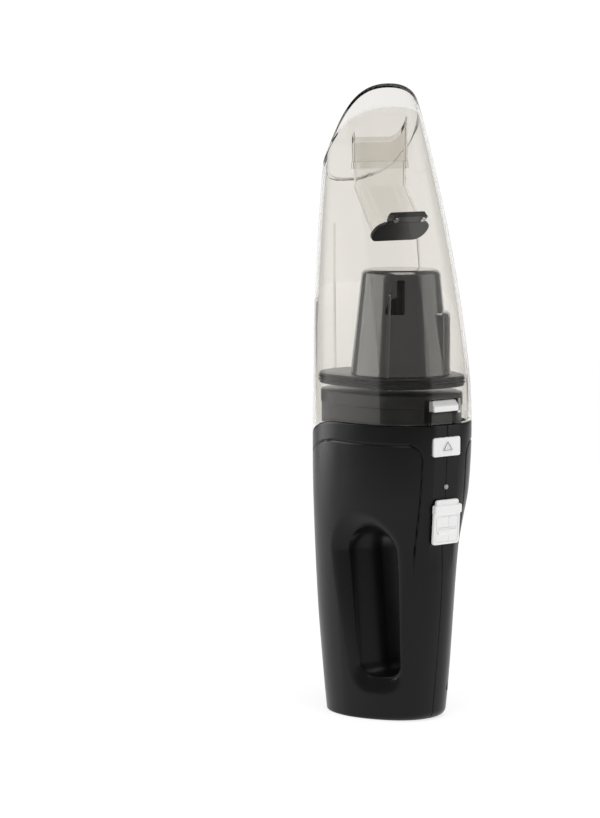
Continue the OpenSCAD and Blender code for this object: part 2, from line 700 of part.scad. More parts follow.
// middle of the retainer, clear of the bead on the flap's edge
retainer_y = -retainer_l / 2 - 1.1;
screw_gap = 23;
module flap_retainer() {
    color([0.10, 0.10, 0.10]) at_flap() difference() {
        union() {
            translate([0, retainer_y, -flap_t]) linear_extrude(flap_t + 2.4)
                pad2d(retainer_w, retainer_l, 1);
            translate([-retainer_w / 2 + 1, -retainer_l, 0.4]) cube([retainer_w - 2, retainer_l + 1, 2]);
        }
        for (x = [-1, 1]) translate([x * screw_gap / 2, retainer_y, -3]) cylinder(r = 1.05, h = 9);
    }
}
module flap_screws() {
    color("silver") at_flap() for (x = [-1, 1]) translate([x * screw_gap / 2, retainer_y, 0]) {
        translate([0, 0, -flap_t]) cylinder(r = 1, h = 4);
        difference() {
            translate([0, 0, -flap_t - 1]) cylinder(r = 1.9, h = 1);
            translate([-1.4, -0.25, -flap_t - 1.5]) cube([2.8, 0.5, 1]);
        }
    }
}

// ---- filter ----
flange_z = 217;
flange_t = 7;
filter_z = 224;
filter_d = 9.7;
filter_top_r = 25.7;
// an upright lug on the cone's flank, turned this far from the front, keys the filter in its seat
lug_turn = 48;
lug_h = 41;
lug_w = 34;
// slots in the cone's upper part
slots = 3;
slot_turn = 100;
module at_filter() {
    translate([0, -filter_d, filter_z]) children();
}
module filter_shell() {
    color([0.13, 0.13, 0.14]) at_filter() difference() {
        union() {
            rotate_extrude() polygon(concat(
                [[0, 0], [filter_r, 0]],
                [for (a = [0:15:90]) [filter_top_r - 4 + 4 * cos(a), filter_h - 4 + 4 * sin(a)]],
                [[0, filter_h]]));
            intersection() {
                cylinder(r = filter_r - 0.4, h = lug_h);
                rotate(lug_turn) translate([-lug_w / 2, -filter_r - 1, 0])
                    cube([lug_w, filter_r - 13, lug_h]);
            }
        }
        translate([0, 0, -1]) cylinder(r1 = filter_r - 1.8, r2 = filter_top_r - 1.6, h = filter_h - 1);
        for (k = [0:slots - 1]) rotate(slot_turn + 360 * k / slots)
            translate([16, 1, filter_h - 27]) cube([20, 5, 21]);
    }
}
pleats = 26;
module filter_element() {
    color([0.12, 0.12, 0.12]) at_filter() translate([0, 0, 1]) difference() {
        linear_extrude(filter_h - 9) polygon([for (i = [0:2 * pleats - 1])
            (i % 2 == 0 ? 22.5 : 18.5) * [cos(180 * i / pleats), sin(180 * i / pleats)]]);
        translate([0, 0, -1]) cylinder(r = 15, h = filter_h - 13);
    }
}
flange_inset = 4;
seal_t = 2.8;
seal_z = flange_z + (flange_t - seal_t) / 2;
module filter_flange() {
    color([0.11, 0.11, 0.12]) difference() {
        union() {
            neck_prism(flange_z, seal_z, flange_inset);
            neck_prism(flange_z, flange_z + flange_t, flange_inset + 2);
            neck_prism(seal_z + seal_t, flange_z + flange_t, flange_inset);
            at_filter() cylinder(r = filter_r - 2.4, h = 1);
        }
        at_filter() translate([0, 0, flange_z - filter_z - 1]) cylinder(r = 19, h = 20);
    }
}
// rubber lip in the groove round the flange
module cup_seal() {
    color([0.06, 0.06, 0.06]) difference() {
        neck_prism(seal_z, seal_z + seal_t, cup_t + 1.1);
        neck_prism(seal_z - 1, seal_z + seal_t + 1, flange_inset + 2);
    }
}

left_housing();
right_housing();
motor_cowl();
intake_grille();
dust_cup();
inlet_collar();
duct_band();
inlet_duct();
flap_valve();
flap_retainer();
flap_screws();
filter_shell();
filter_element();
filter_flange();
cup_seal();
motor_can();
motor_armature();
motor_shaft();
motor_mount();
fan_impeller();
fan_shroud();
motor_gasket();
exhaust_foam();
battery_cells();
battery_tray();
battery_strips();
control_board();
slide_switch();
power_slider();
release_button();
latch_hook();
latch_spring();
led_lens();
charge_socket();
charge_contacts();
housing_screws();
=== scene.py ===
"""Looks of the cordless handheld vacuum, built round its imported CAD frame.

Shapes are worked out in millimetres with the same outline formulas as the CAD part:
"depth" runs forwards from the axis (depth = -Y), and angle t runs round the section
from the front (0) over the right flank (90) to the rear (180). Meshes are in metres.
"""

import math

import bmesh
import bpy
import numpy as np
from mathutils import Matrix, Vector


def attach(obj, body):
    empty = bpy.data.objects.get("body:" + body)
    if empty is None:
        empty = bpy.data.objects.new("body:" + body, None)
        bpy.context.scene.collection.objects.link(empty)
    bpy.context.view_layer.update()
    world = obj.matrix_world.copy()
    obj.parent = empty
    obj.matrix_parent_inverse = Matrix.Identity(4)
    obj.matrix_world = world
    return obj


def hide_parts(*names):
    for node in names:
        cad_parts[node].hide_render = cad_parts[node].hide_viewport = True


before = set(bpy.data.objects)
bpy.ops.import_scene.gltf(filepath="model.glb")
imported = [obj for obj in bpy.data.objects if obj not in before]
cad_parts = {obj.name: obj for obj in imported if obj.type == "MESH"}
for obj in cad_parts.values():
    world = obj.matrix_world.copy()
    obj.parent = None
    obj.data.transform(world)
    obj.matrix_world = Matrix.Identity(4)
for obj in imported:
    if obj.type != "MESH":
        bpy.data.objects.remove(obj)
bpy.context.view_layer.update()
MM = 0.001

# ---------------------------------------------------------------- outline of the body
FRONT = [(0, 41), (20, 43.5), (70, 48.5), (120, 51.5), (160, 54), (194, 55), (224, 53.5),
         (269, 46), (319, 33.5), (359, 19.5), (390, 6.5), (412, -2.5), (424, -7)]
REAR = [(0, 43), (24, 45.5), (69, 49), (119, 52), (160, 53.5), (224, 53.5), (269, 52.5),
        (319, 49), (359, 44), (390, 38), (412, 32), (424, 28)]
HALF = [(0, 34.5), (24, 36.5), (69, 40), (119, 42), (159, 43), (194, 43), (224, 42.5),
        (269, 41.5), (319, 39), (359, 36.8), (390, 34.3), (412, 29), (424, 25)]
MID = [(0, -6), (110, -5), (194, 0), (269, -4), (339, -10), (412, -16), (424, -17)]
FRONT_POWER = [(0, 1.6), (30, 1.5), (70, 1.3), (112, 1.45), (130, 1.9), (150, 2.6),
               (194, 2.7), (269, 2.4), (424, 2.2)]
SIDE_POWER = [(0, 2.3), (110, 2.3), (194, 2.5), (300, 2.4), (380, 2.3), (424, 2.1)]
REAR_POWER = 2.35
BODY_H = 412.0
MOUTH = [(-60, BODY_H - 74), (-42, BODY_H - 61), (-30, BODY_H - 50), (-19, BODY_H - 37.5),
         (-9, BODY_H - 19), (-2.5, BODY_H - 0.5), (4, BODY_H + 17)]
JOINT_Z = 194.0
JOINT_R = 60.0
JOINT_MID = -5.0
STRIP_HALF = 10.6
STRIP_FOOT = (96, 118)
STRIP_TOP = (236, 262)
STRIP_BOW = 0.2


def curve(points, x):
    """Smooth curve through the points, as in the CAD part."""
    p = np.asarray(points, float)
    x = np.asarray(x, float)
    last = len(p) - 1
    i = np.clip(np.searchsorted(p[:, 0], x, side="right") - 1, 0, last - 1)
    before = np.maximum(np.arange(last + 1) - 1, 0)
    after = np.minimum(np.arange(last + 1) + 1, last)
    slope = (p[after, 1] - p[before, 1]) / (p[after, 0] - p[before, 0])
    h = p[i + 1, 0] - p[i, 0]
    u = (x - p[i, 0]) / h
    a = slope[i] * h
    b = slope[i + 1] * h
    d = p[i + 1, 1] - p[i, 1]
    return p[i, 1] + a * u + (3 * d - 2 * a - b) * u ** 2 + (a + b - 2 * d) * u ** 3


def spow(v, e):
    """Power that keeps the sign."""
    return np.sign(v) * np.abs(v) ** e


def smooth(x, low, high):
    """0 below low, 1 above high, and a soft step between them."""
    u = np.clip((np.asarray(x, float) - low) / (high - low), 0, 1)
    return u * u * (3 - 2 * u)


def rim(t, z, inset=0.0):
    """Points of the outline at angle t (degrees) and height z: x, y, z in millimetres."""
    t, z, inset = np.broadcast_arrays(np.asarray(t, float), np.asarray(z, float), np.asarray(inset, float))
    c = np.cos(np.radians(t))
    s = np.sin(np.radians(t))
    c = np.where(np.abs(c) < 1e-12, 0, c)
    s = np.where(np.abs(s) < 1e-12, 0, s)
    mid = curve(MID, z)
    reach = np.where(c >= 0, curve(FRONT, z) - mid, curve(REAR, z) + mid)
    power = np.where(c >= 0, curve(FRONT_POWER, z), REAR_POWER)
    depth = mid + (reach - inset) * spow(c, 2 / power)
    side = (curve(HALF, z) - inset) * spow(s, 2 / curve(SIDE_POWER, z))
    # a nearly flat strip runs up the front, under the controls
    weight = smooth(z, *STRIP_FOOT) * (1 - smooth(z, *STRIP_TOP)) * (c > 0)
    edge = curve(HALF, z) - inset
    edge_s = np.clip(STRIP_HALF / edge, 0, 1) ** (curve(SIDE_POWER, z) / 2)
    edge_depth = mid + (reach - inset) * np.sqrt(1 - edge_s ** 2) ** (2 / power)
    inside = (np.abs(side) < STRIP_HALF) & (c > 0)
    flat = edge_depth + STRIP_BOW * (depth - edge_depth)
    depth = np.where(inside, depth + weight * (flat - depth), depth)
    return np.stack([side, -depth, z], axis=-1)


def joint_line(depth):
    """Height of the joint between the housing and the cup, which falls in an arc to the rear."""
    drop = JOINT_R - np.sqrt(np.maximum(JOINT_R ** 2 - np.minimum(depth - JOINT_MID, 0) ** 2, 0))
    return JOINT_Z - drop


def joint_at(t):
    """Height of that joint at angle t."""
    z = np.full(np.shape(t), JOINT_Z)
    for _ in range(6):
        z = joint_line(-rim(t, z)[..., 1])
    return z


# ---------------------------------------------------------------- mesh helpers
def linked(name, data):
    """Object with the given data, in the scene."""
    obj = bpy.data.objects.new(name, data)
    bpy.context.scene.collection.objects.link(obj)
    return obj


def outward(obj):
    """Turns every face to look out of its solid."""
    bm = bmesh.new()
    bm.from_mesh(obj.data)
    bmesh.ops.recalc_face_normals(bm, faces=bm.faces)
    if bm.calc_volume(signed=True) < 0:
        bmesh.ops.reverse_faces(bm, faces=bm.faces)
    bm.to_mesh(obj.data)
    bm.free()
    return obj


def new_object(name, points, faces):
    """Closed solid from points in millimetres, its faces turned outward."""
    mesh = bpy.data.meshes.new(name)
    mesh.from_pydata((np.asarray(points, float) * MM).tolist(), [], [list(map(int, f)) for f in faces])
    mesh.validate()
    return outward(linked(name, mesh))


def grid_faces(rows, cols, wrap=False):
    """Quads of a grid of points, row by row."""
    found = []
    for j in range(rows - 1):
        for i in range(cols if wrap else cols - 1):
            a = j * cols + i
            b = j * cols + (i + 1) % cols
            found.append((a, b, b + cols, a + cols))
    return found


def closed_rings(name, rings):
    """Closed solid from rings of points that run once round, capped at both ends."""
    rings = np.asarray(rings, float)
    m, n = rings.shape[:2]
    faces = grid_faces(m, n, wrap=True)
    faces.append(tuple(range(n - 1, -1, -1)))
    faces.append(tuple(range((m - 1) * n, m * n)))
    return new_object(name, rings.reshape(-1, 3), faces)


def boolean(obj, other, operation):
    """Joins, cuts or trims obj with other, and drops other."""
    modifier = obj.modifiers.new(operation.lower(), "BOOLEAN")
    modifier.operation = operation
    modifier.solver = "MANIFOLD"
    modifier.object = other
    graph = bpy.context.evaluated_depsgraph_get()
    mesh = bpy.data.meshes.new_from_object(obj.evaluated_get(graph))
    obj.modifiers.clear()
    old = obj.data
    obj.data = mesh
    mesh.name = obj.name
    bpy.data.meshes.remove(old)
    bpy.data.objects.remove(other)
    return obj


def cut(obj, other):
    return boolean(obj, other, "DIFFERENCE")


def join(obj, other):
    return boolean(obj, other, "UNION")


def shade(obj, angle=32.0):
    """Smooth shading that keeps edges sharper than the angle."""
    for polygon in obj.data.polygons:
        polygon.use_smooth = True
    obj.data.set_sharp_from_angle(angle=math.radians(angle))
    return obj


def paint(obj, material):
    """Gives the whole mesh one material."""
    mesh = obj.data
    mesh.materials.clear()
    mesh.materials.append(material)
    mesh.polygons.foreach_set("material_index", np.zeros(len(mesh.polygons), np.int32))
    return obj


def rounded_outline(w, h, r, steps=8):
    """Points round a rounded rectangle about its middle."""
    found = []
    for k, (x, y) in enumerate(((1, 1), (-1, 1), (-1, -1), (1, -1))):
        for i in range(steps + 1):
            a = math.radians(90 * k + 90 * i / steps)
            found.append((x * (w / 2 - r) + r * math.cos(a), y * (h / 2 - r) + r * math.sin(a)))
    return np.array(found)


def front_block(name, w, h, r, z, depth0, depth1, x=0.0):
    """Rounded block that faces the front, from depth0 to depth1."""
    ring = rounded_outline(w, h, r)
    rings = [np.stack([ring[:, 0] + x, np.full(len(ring), -depth), ring[:, 1] + z], axis=-1)
             for depth in (depth0, depth1)]
    return closed_rings(name, rings)


def rod(name, start, end, r, steps=40):
    """Round rod between two points."""
    start, end = np.asarray(start, float), np.asarray(end, float)
    axis = (end - start) / np.linalg.norm(end - start)
    side = np.cross(axis, [0, 0, 1.0] if abs(axis[2]) < 0.9 else [1.0, 0, 0])
    side /= np.linalg.norm(side)
    up = np.cross(axis, side)
    a = np.linspace(0, 2 * np.pi, steps, endpoint=False)
    ring = r * (np.outer(np.cos(a), side) + np.outer(np.sin(a), up))
    return closed_rings(name, [start + ring, end + ring])


def box_block(name, low, high):
    """Box between two corners."""
    corners = np.array([[x, y, z] for x in (low[0], high[0]) for y in (low[1], high[1])
                        for z in (low[2], high[2])])
    faces = [(0, 1, 3, 2), (4, 6, 7, 5), (0, 4, 5, 1), (2, 3, 7, 6), (0, 2, 6, 4), (1, 5, 7, 3)]
    return new_object(name, corners, faces)


# ---------------------------------------------------------------- materials
def node_material(name, color, roughness, **sockets):
    """Principled material. Sockets are the shader's own inputs, with _ for a space."""
    material = bpy.data.materials.new(name)
    material.use_nodes = True
    shader = material.node_tree.nodes["Principled BSDF"]
    shader.inputs["Base Color"].default_value = (*color, 1)
    shader.inputs["Roughness"].default_value = roughness
    for key, value in sockets.items():
        shader.inputs[key.replace("_", " ")].default_value = value
    return material


def add_node(material, kind, **settings):
    """Adds a node; a setting is a socket's value or the node's own property."""
    node = material.node_tree.nodes.new(kind)
    for key, value in settings.items():
        if key in node.inputs:
            node.inputs[key].default_value = value
        else:
            setattr(node, key, value)
    return node


def grain(material, scale, height, roughness=None, spread=0.0):
    """Fine moulded grain: bump in metres, and roughness that varies by the spread."""
    tree = material.node_tree
    shader = tree.nodes["Principled BSDF"]
    place = add_node(material, "ShaderNodeTexCoord")
    noise = add_node(material, "ShaderNodeTexNoise", Scale=scale, Detail=4.0, Roughness=0.6)
    tree.links.new(place.outputs["Object"], noise.inputs["Vector"])
    bump = add_node(material, "ShaderNodeBump", Strength=1.0, Distance=height)
    tree.links.new(noise.outputs["Fac"], bump.inputs["Height"])
    tree.links.new(bump.outputs["Normal"], shader.inputs["Normal"])
    if roughness is not None:
        broad = add_node(material, "ShaderNodeTexNoise", Scale=scale / 60, Detail=3.0, Roughness=0.55)
        tree.links.new(place.outputs["Object"], broad.inputs["Vector"])
        spreader = add_node(material, "ShaderNodeMapRange")
        spreader.inputs["From Min"].default_value = 0.3
        spreader.inputs["From Max"].default_value = 0.7
        spreader.inputs["To Min"].default_value = roughness - spread
        spreader.inputs["To Max"].default_value = roughness + spread
        tree.links.new(broad.outputs["Fac"], spreader.inputs["Value"])
        tree.links.new(spreader.outputs["Result"], shader.inputs["Roughness"])
    return material


def moulded(name, color, roughness, spread, scale, height, **sockets):
    """Grained material whose roughness varies by the spread round its own."""
    return grain(node_material(name, color, roughness, **sockets), scale, height, roughness, spread)


black_shell = moulded("black_shell", (0.007, 0.007, 0.0075), 0.3, 0.03, 2600, 0.000012,
                      Specular_IOR_Level=0.19)
neck_plastic = moulded("neck_plastic", (0.012, 0.012, 0.013), 0.3, 0.03, 2600, 0.000002,
                       Specular_IOR_Level=0.3, Coat_Weight=0.3, Coat_Roughness=0.25)
clear_cup = moulded("clear_cup", (0.86, 0.845, 0.815), 0.03, 0.02, 90, 0.00002,
                    Transmission_Weight=1.0, IOR=1.14, Coat_Weight=0.35, Coat_Roughness=0.03)
# near-black painted shade for the dark line along the cup's rim, in place of the darkening that refraction
# gives it
painted_rim_shade = grain(node_material("painted_rim_shade", (0.02, 0.021, 0.023), 0.12, Coat_Weight=1.0),
                    400, 0.000004)
clear_duct = moulded("clear_duct", (0.965, 0.96, 0.945), 0.12, 0.04, 120, 0.00002,
                     Transmission_Weight=1.0, IOR=1.12, Coat_Weight=0.5, Coat_Roughness=0.06)
white_control = moulded("white_control", (0.9, 0.9, 0.895), 0.3, 0.03, 2200, 0.000008)
grey_mark = moulded("grey_mark", (0.22, 0.22, 0.225), 0.4, 0.03, 1800, 0.000006)
filter_plastic = moulded("filter_plastic", (0.016, 0.016, 0.018), 0.2, 0.04, 2400, 0.000006,
                         Coat_Weight=1.0, Coat_Roughness=0.14, Coat_IOR=2.5)
flap_rubber = moulded("flap_rubber", (0.012, 0.012, 0.014), 0.35, 0.05, 2000, 0.00001)
steel = moulded("steel", (0.62, 0.62, 0.64), 0.28, 0.06, 1800, 0.000006, Metallic=1.0)
pale_metal = moulded("pale_metal", (0.78, 0.79, 0.81), 0.3, 0.08, 900, 0.000008, Metallic=1.0)
nickel = moulded("nickel", (0.70, 0.68, 0.63), 0.25, 0.08, 1500, 0.000005, Metallic=1.0)
gold = moulded("gold", (0.83, 0.62, 0.26), 0.2, 0.06, 1500, 0.000004, Metallic=1.0)
mount_rubber = moulded("mount_rubber", (0.05, 0.05, 0.053), 0.6, 0.06, 1200, 0.00003)
tray_plastic = moulded("tray_plastic", (0.03, 0.03, 0.032), 0.4, 0.05, 1500, 0.00002)
lens = moulded("lens", (0.90, 0.92, 0.95), 0.25, 0.04, 1500, 0.000006, Transmission_Weight=0.6)


def two_tone(material, pattern, output, height, dark, light):
    """Lets a pattern node set the colour between two tones, and the relief in metres; the dark tone lies
    where the relief sinks, which paints shade into its hollows.
    """
    tree = material.node_tree
    shader = tree.nodes["Principled BSDF"]
    place = add_node(material, "ShaderNodeTexCoord")
    tree.links.new(place.outputs["Object"], pattern.inputs["Vector"])
    ramp = add_node(material, "ShaderNodeValToRGB")
    ramp.color_ramp.elements[0].color = (*dark, 1)
    ramp.color_ramp.elements[1].color = (*light, 1)
    tree.links.new(pattern.outputs[output], ramp.inputs["Fac"])
    tree.links.new(ramp.outputs["Color"], shader.inputs["Base Color"])
    bump = add_node(material, "ShaderNodeBump", Strength=1.0, Distance=height)
    tree.links.new(pattern.outputs[output], bump.inputs["Height"])
    tree.links.new(bump.outputs["Normal"], shader.inputs["Normal"])
    return material


def striped(material, scale, height, dark, light, direction="Z"):
    """Fine parallel lines, such as wire turns or pleats, with painted shade in the grooves between them."""
    wave = add_node(material, "ShaderNodeTexWave", Scale=scale, Distortion=0.4, bands_direction=direction)
    return two_tone(material, wave, "Fac", height, dark, light)


def pored(material, scale, height, dark, light):
    """Open pores, such as foam's: cells that sink between thin webs, with painted shade in the sunken cells.
    """
    cells = add_node(material, "ShaderNodeTexVoronoi", Scale=scale)
    return two_tone(material, cells, "Distance", height, dark, light)


# in each material below, the dark tone lies in the hollows of the relief: painted shade
copper_wire = striped(node_material("copper_wire", (0.6, 0.25, 0.1), 0.3, Metallic=1.0), 900, 0.0001,
                      (0.30, 0.10, 0.04), (0.72, 0.33, 0.14))
pleat_paper = striped(node_material("pleat_paper", (0.05, 0.05, 0.05), 0.9), 1400, 0.00003,
                      (0.035, 0.035, 0.035), (0.07, 0.07, 0.07), "X")
foam = pored(node_material("foam", (0.12, 0.12, 0.12), 0.95), 900, 0.0004,
             (0.03, 0.03, 0.03), (0.16, 0.16, 0.165))
cell_sleeve = striped(node_material("cell_sleeve", (0.05, 0.2, 0.4), 0.25), 60, 0.00002,
                      (0.05, 0.19, 0.38), (0.07, 0.25, 0.47))
board_green = pored(node_material("board_green", (0.02, 0.15, 0.06), 0.35), 500, 0.00003,
                    (0.012, 0.10, 0.04), (0.03, 0.19, 0.08))

# ---------------------------------------------------------------- housing halves
SHELL_T = 2.6
SEAM = 0.10
SLOT = {"front": 30.0, "rear": 6.0, "top": 121.0, "foot": 31.0}
SLOT_ARCH = 11.5
SLOT_FOOT = 8.0
SLOT_LEAN = 7.0
SKIN_GROW = np.array([7.0, 3.6, 6.0, 3.5])
# lowest and highest (depth, height) that the flare round the slot may reach, and its lip's width
FLARE_BOX = ((-24, 8), (56, 152))
FLARE_LIP = 1.2


def slot_outline(grow, steps=24):
    """Outline of the finger slot (depth, height); grow widens it: rear, front, up, down."""
    front = SLOT["front"] + grow[1]
    rear = SLOT["rear"] - grow[0]
    top = SLOT["top"] + grow[2]
    foot = SLOT["foot"] - grow[3]
    arch = min(SLOT_ARCH + grow[2], (front - rear) / 2 - 0.2)
    low = min(SLOT_FOOT + grow[3] / 2, (front - rear - SLOT_LEAN) / 2 - 0.2)
    corners = ((front - arch, top - arch, arch, 0), (rear + arch, top - arch, arch, 90),
               (rear + SLOT_LEAN + low, foot + low, low, 180), (front - low, foot + low, low, 270))
    found = []
    for depth, z, r, first in corners:
        for i in range(steps + 1):
            a = math.radians(first + 90 * i / steps)
            found.append((depth + r * math.cos(a), z + r * math.sin(a)))
    return np.array(found)


def outline_distance(points, outline):
    """Signed distance of (depth, height) points from a closed outline, and the way off it."""
    a = outline
    b = np.roll(outline, -1, axis=0)
    ab = b - a
    length = np.maximum((ab ** 2).sum(1), 1e-12)
    best = np.full(len(points), 1e9)
    near = np.zeros_like(points)
    winding = np.zeros(len(points), bool)
    for k in range(len(a)):
        ap = points - a[k]
        u = np.clip((ap @ ab[k]) / length[k], 0, 1)
        q = a[k] + u[:, None] * ab[k]
        d = np.linalg.norm(points - q, axis=1)
        closer = d < best
        best = np.where(closer, d, best)
        near[closer] = q[closer]
        crosses = (a[k, 1] > points[:, 1]) != (b[k, 1] > points[:, 1])
        if abs(ab[k, 1]) > 1e-12:
            x = a[k, 0] + (points[:, 1] - a[k, 1]) / ab[k, 1] * ab[k, 0]
            winding ^= crosses & (points[:, 0] < x)
    away = (points - near) / np.maximum(best, 1e-9)[:, None]
    away[winding] *= -1
    return np.where(winding, -best, best), away


SKIN_OUTLINE = slot_outline(SKIN_GROW)


def slot_flare(depth, z):
    """How far the skin sinks towards the seam round the finger slot."""
    shape = depth.shape
    points = np.stack([depth.ravel(), z.ravel()], axis=-1)
    sink = np.zeros(len(points))
    low, top = FLARE_BOX
    around = ((points > low) & (points < top)).all(axis=1)
    d, away = outline_distance(points[around], SKIN_OUTLINE)
    # reach and depth of the flare in each direction; to the rear and the front both grow with height
    high = smooth(points[around][:, 1], 35, 115)
    to_rear = np.maximum(-away[:, 0], 0) ** 2
    to_front = np.maximum(away[:, 0], 0) ** 2
    up = np.maximum(away[:, 1], 0) ** 2
    down = np.maximum(-away[:, 1], 0) ** 2
    reach = to_rear * (6 + 4 * high) + to_front * (3.2 + 3.8 * high) + up * 11 + down * 11
    depth_in = to_rear * (3.4 + 2.6 * high) + to_front * (1.6 + 2.2 * high) + up * 6 + down * 5
    u = np.clip(d / np.maximum(reach, 1), 0, 1)
    lip = np.clip(1 - np.maximum(d, 0) / FLARE_LIP, 0, 1)
    sink[around] = depth_in * (1 - u) ** 1.7 + 0.5 * lip ** 2
    return sink.reshape(shape)


CLOSEST = 0.06


def spread_angles(z, marks, step):
    """Angles t whose points stand at the marked arc lengths from the front seam (negative
    marks count from the rear seam) and otherwise a step apart, on the section at z."""
    u = np.linspace(0, 1, 40001)
    t = 180 * (0.5 - 0.5 * np.cos(np.pi * u))
    p = rim(t, z)
    arc = np.concatenate([[0], np.cumsum(np.linalg.norm(np.diff(p, axis=0), axis=1))])
    total = arc[-1]
    spans = [(low if low >= 0 else total + low, high if high > 0 else total + high, pitch)
             for low, high, pitch in marks]
    wanted = [w for low, high, pitch in spans for w in np.arange(low, high, pitch)]
    s = 0.0
    while s < total:
        if not any(low - 1e-6 <= s < high for low, high, _ in spans):
            wanted.append(s)
        s += step
    wanted = sorted(set([0.0, total] + [round(w, 4) for w in wanted if 0 < w < total]))
    kept = [wanted[0]]
    for w in wanted[1:]:
        if w - kept[-1] > CLOSEST:
            kept.append(w)
    kept[-1] = total
    return np.interp(kept, arc, t)


TAIL_R = 1.4
TAIL_FRONT_R = 4.6
GROOVE_DROP = 12.0
GROOVE_X = 19.0
GROOVE_R = 10.0
GROOVE_DEPTH = 0.85
GROOVE_HALF = 0.75
SEAM_DIP = 0.35
FLOOR_TOP = 12.0
EVEN_TOP = 146.0
JOINT_EDGE = 0.5


def tail_round(t):
    """Radius of the rounded edge round the tail, larger at the front."""
    return TAIL_R + TAIL_FRONT_R * np.maximum(0, np.cos(np.radians(t))) ** 2


def push_in(points, amount):
    """Moves grid points inwards along the section's normal by the amount."""
    along = np.gradient(points, axis=1)
    normal = np.stack([-along[..., 1], along[..., 0]], axis=-1)
    normal /= np.maximum(np.linalg.norm(normal, axis=-1, keepdims=True), 1e-9)
    moved = points.copy()
    moved[..., :2] += normal * amount[..., None]
    return moved


def side_groove(points, t):
    """Depth of the thin line that frames each flank."""
    step = np.linalg.norm(np.diff(points[..., :2], axis=1), axis=-1)
    arc = np.concatenate([np.zeros((len(points), 1)), np.cumsum(step, axis=1)], axis=1)
    front = points.shape[1] // 2
    start = np.array([np.interp(GROOVE_X, row[:front, 0], length[:front])
                      for row, length in zip(points, arc)])
    along = arc - start[:, None]
    below = points[..., 2] - (joint_at(t)[None, :] - GROOVE_DROP)
    upright = np.abs(along)
    level = np.abs(below)
    corner = np.abs(np.hypot(along - GROOVE_R, below + GROOVE_R) - GROOVE_R)
    in_corner = (along < GROOVE_R) & (below > -GROOVE_R)
    d = np.where(in_corner, corner, np.where(along < GROOVE_R, upright, level))
    strength = smooth(points[..., 2], 84, 112)
    return GROOVE_DEPTH * strength * np.clip(1 - d / GROOVE_HALF, 0, 1) ** 0.8


def half_grid():
    """Outer and inner skin of the right half: grids of points, row by row from the tail."""
    t = spread_angles(118, [(0, 0.9, 0.15), (0.9, 3, 0.5), (9.6, 11.6, 0.25), (17.5, 33, 0.4),
                            (33, 76, 0.75), (-3, -0.9, 0.5), (-0.9, 0, 0.15)], 1.3)
    r = tail_round(t)
    joint = joint_at(t)
    outer = [rim(t, r * (1 - np.cos(a)), r * (1 - np.sin(a))) for a in np.radians(np.arange(0, 90, 9))]
    heights = [r + level / 12 * (FLOOR_TOP - r) for level in range(12)]
    heights += [np.full(len(t), z) for z in np.arange(FLOOR_TOP, EVEN_TOP, 0.75)]
    upper = np.concatenate([np.linspace(0, 0.45, 16, endpoint=False),
                            np.linspace(0.45, 0.85, 46, endpoint=False),
                            np.linspace(0.85, 1, 8, endpoint=False)])
    heights += [EVEN_TOP + (joint - JOINT_EDGE - EVEN_TOP) * share for share in upper]
    heights.append(joint - JOINT_EDGE)
    outer += [rim(t, z) for z in heights]
    outer += [rim(t, joint - JOINT_EDGE * (1 - math.sin(a)), JOINT_EDGE * (1 - math.cos(a)))
              for a in np.radians([30, 60, 90])]
    # the inner skin's rows run evenly from the floor to the joint, so that no face is empty
    last = len(outer) - 1
    inner = [rim(t, SHELL_T + (joint - SHELL_T) * j / last, SHELL_T) for j in range(last + 1)]
    return t, np.array(outer), np.array(inner)


def half_skin(name):
    """Skin of the right half as a closed solid, with its groove, its seam and the slot's flare."""
    t, outer, inner = half_grid()
    groove = side_groove(outer, t)
    groove += SEAM_DIP * np.clip(1 - outer[..., 0] / 0.5, 0, 1)
    sink_out = slot_flare(-outer[..., 1], outer[..., 2])
    outer = push_in(outer, groove)
    outer[..., 0] -= sink_out
    inner[..., 0] -= slot_flare(-inner[..., 1], inner[..., 2])
    m, n = outer.shape[:2]
    for grid in (outer, inner):
        grid[:, 0, 0] = -0.5
        grid[:, -1, 0] = -0.5
    points = np.concatenate([outer.reshape(-1, 3), inner.reshape(-1, 3)])
    size = m * n
    faces = grid_faces(m, n)
    faces += [(a + size, d + size, c + size, b + size) for a, b, c, d in grid_faces(m, n)]
    for i in range(n - 1):
        a = (m - 1) * n + i
        faces.append((a, a + 1, a + 1 + size, a + size))
    for j in range(m - 1):
        for side in (0, n - 1):
            a = j * n + side
            faces.append((a, a + size, a + n + size, a + n))
    faces.append(tuple(range(n)))
    faces.append(tuple(range(size, size + n)))
    faces.append((0, n - 1, n - 1 + size, size))
    return new_object(name, points, faces), t, outer


# where the tunnel widens, as x from and to: its rear, front, upper and lower side
WIDENING = ((12, 33), (6, 19), (10, 30), (10, 30))


def slot_rings(wall, first, last):
    """Rings of the slot's tunnel from x = first to x = last."""
    rings = []
    for x in np.concatenate([[first], np.arange(2, 36, 1.0), [last]]):
        grow = SKIN_GROW * np.array([smooth(x, low, high) for low, high in WIDENING])
        ring = slot_outline(grow + wall)
        rings.append(np.stack([np.full(len(ring), x), -ring[:, 0], ring[:, 1]], axis=-1))
    return rings


def fill_solid(name, t, outer):
    """What the wall round the slot may fill: the outer skin, drawn in by half the wall."""
    rows = [j for j in range(len(outer)) if 6 < outer[j, 0, 2] < 150][::2]
    grid = []
    for j in rows:
        row = rim(t, outer[j, :, 2], 1.3)
        row[:, 0] -= slot_flare(-row[:, 1], row[:, 2])
        row[0, 0] = row[-1, 0] = -1.0
        grid.append(row)
    return closed_rings(name, grid)


BUTTON_HOLE = (25.8, 13.2, 1.9, 180.0, 38, 70)
LED_Z, LED_R = 154.0, 1.65
SOCKET_Z, SOCKET_R = 16.0, 4.65
VENT_Z, VENT_PITCH, VENT_X = 123.2, 5.0, 8.0
# depth and height of each housing screw, and x of its head's underside
SCREWS = ((33, 160, 27), (-38, 158, 24), (-18, 13, 22), (36.5, 20, 9))
SCREW_HEAD_H = 2.4
SCREW_HOLE_R = 3.3


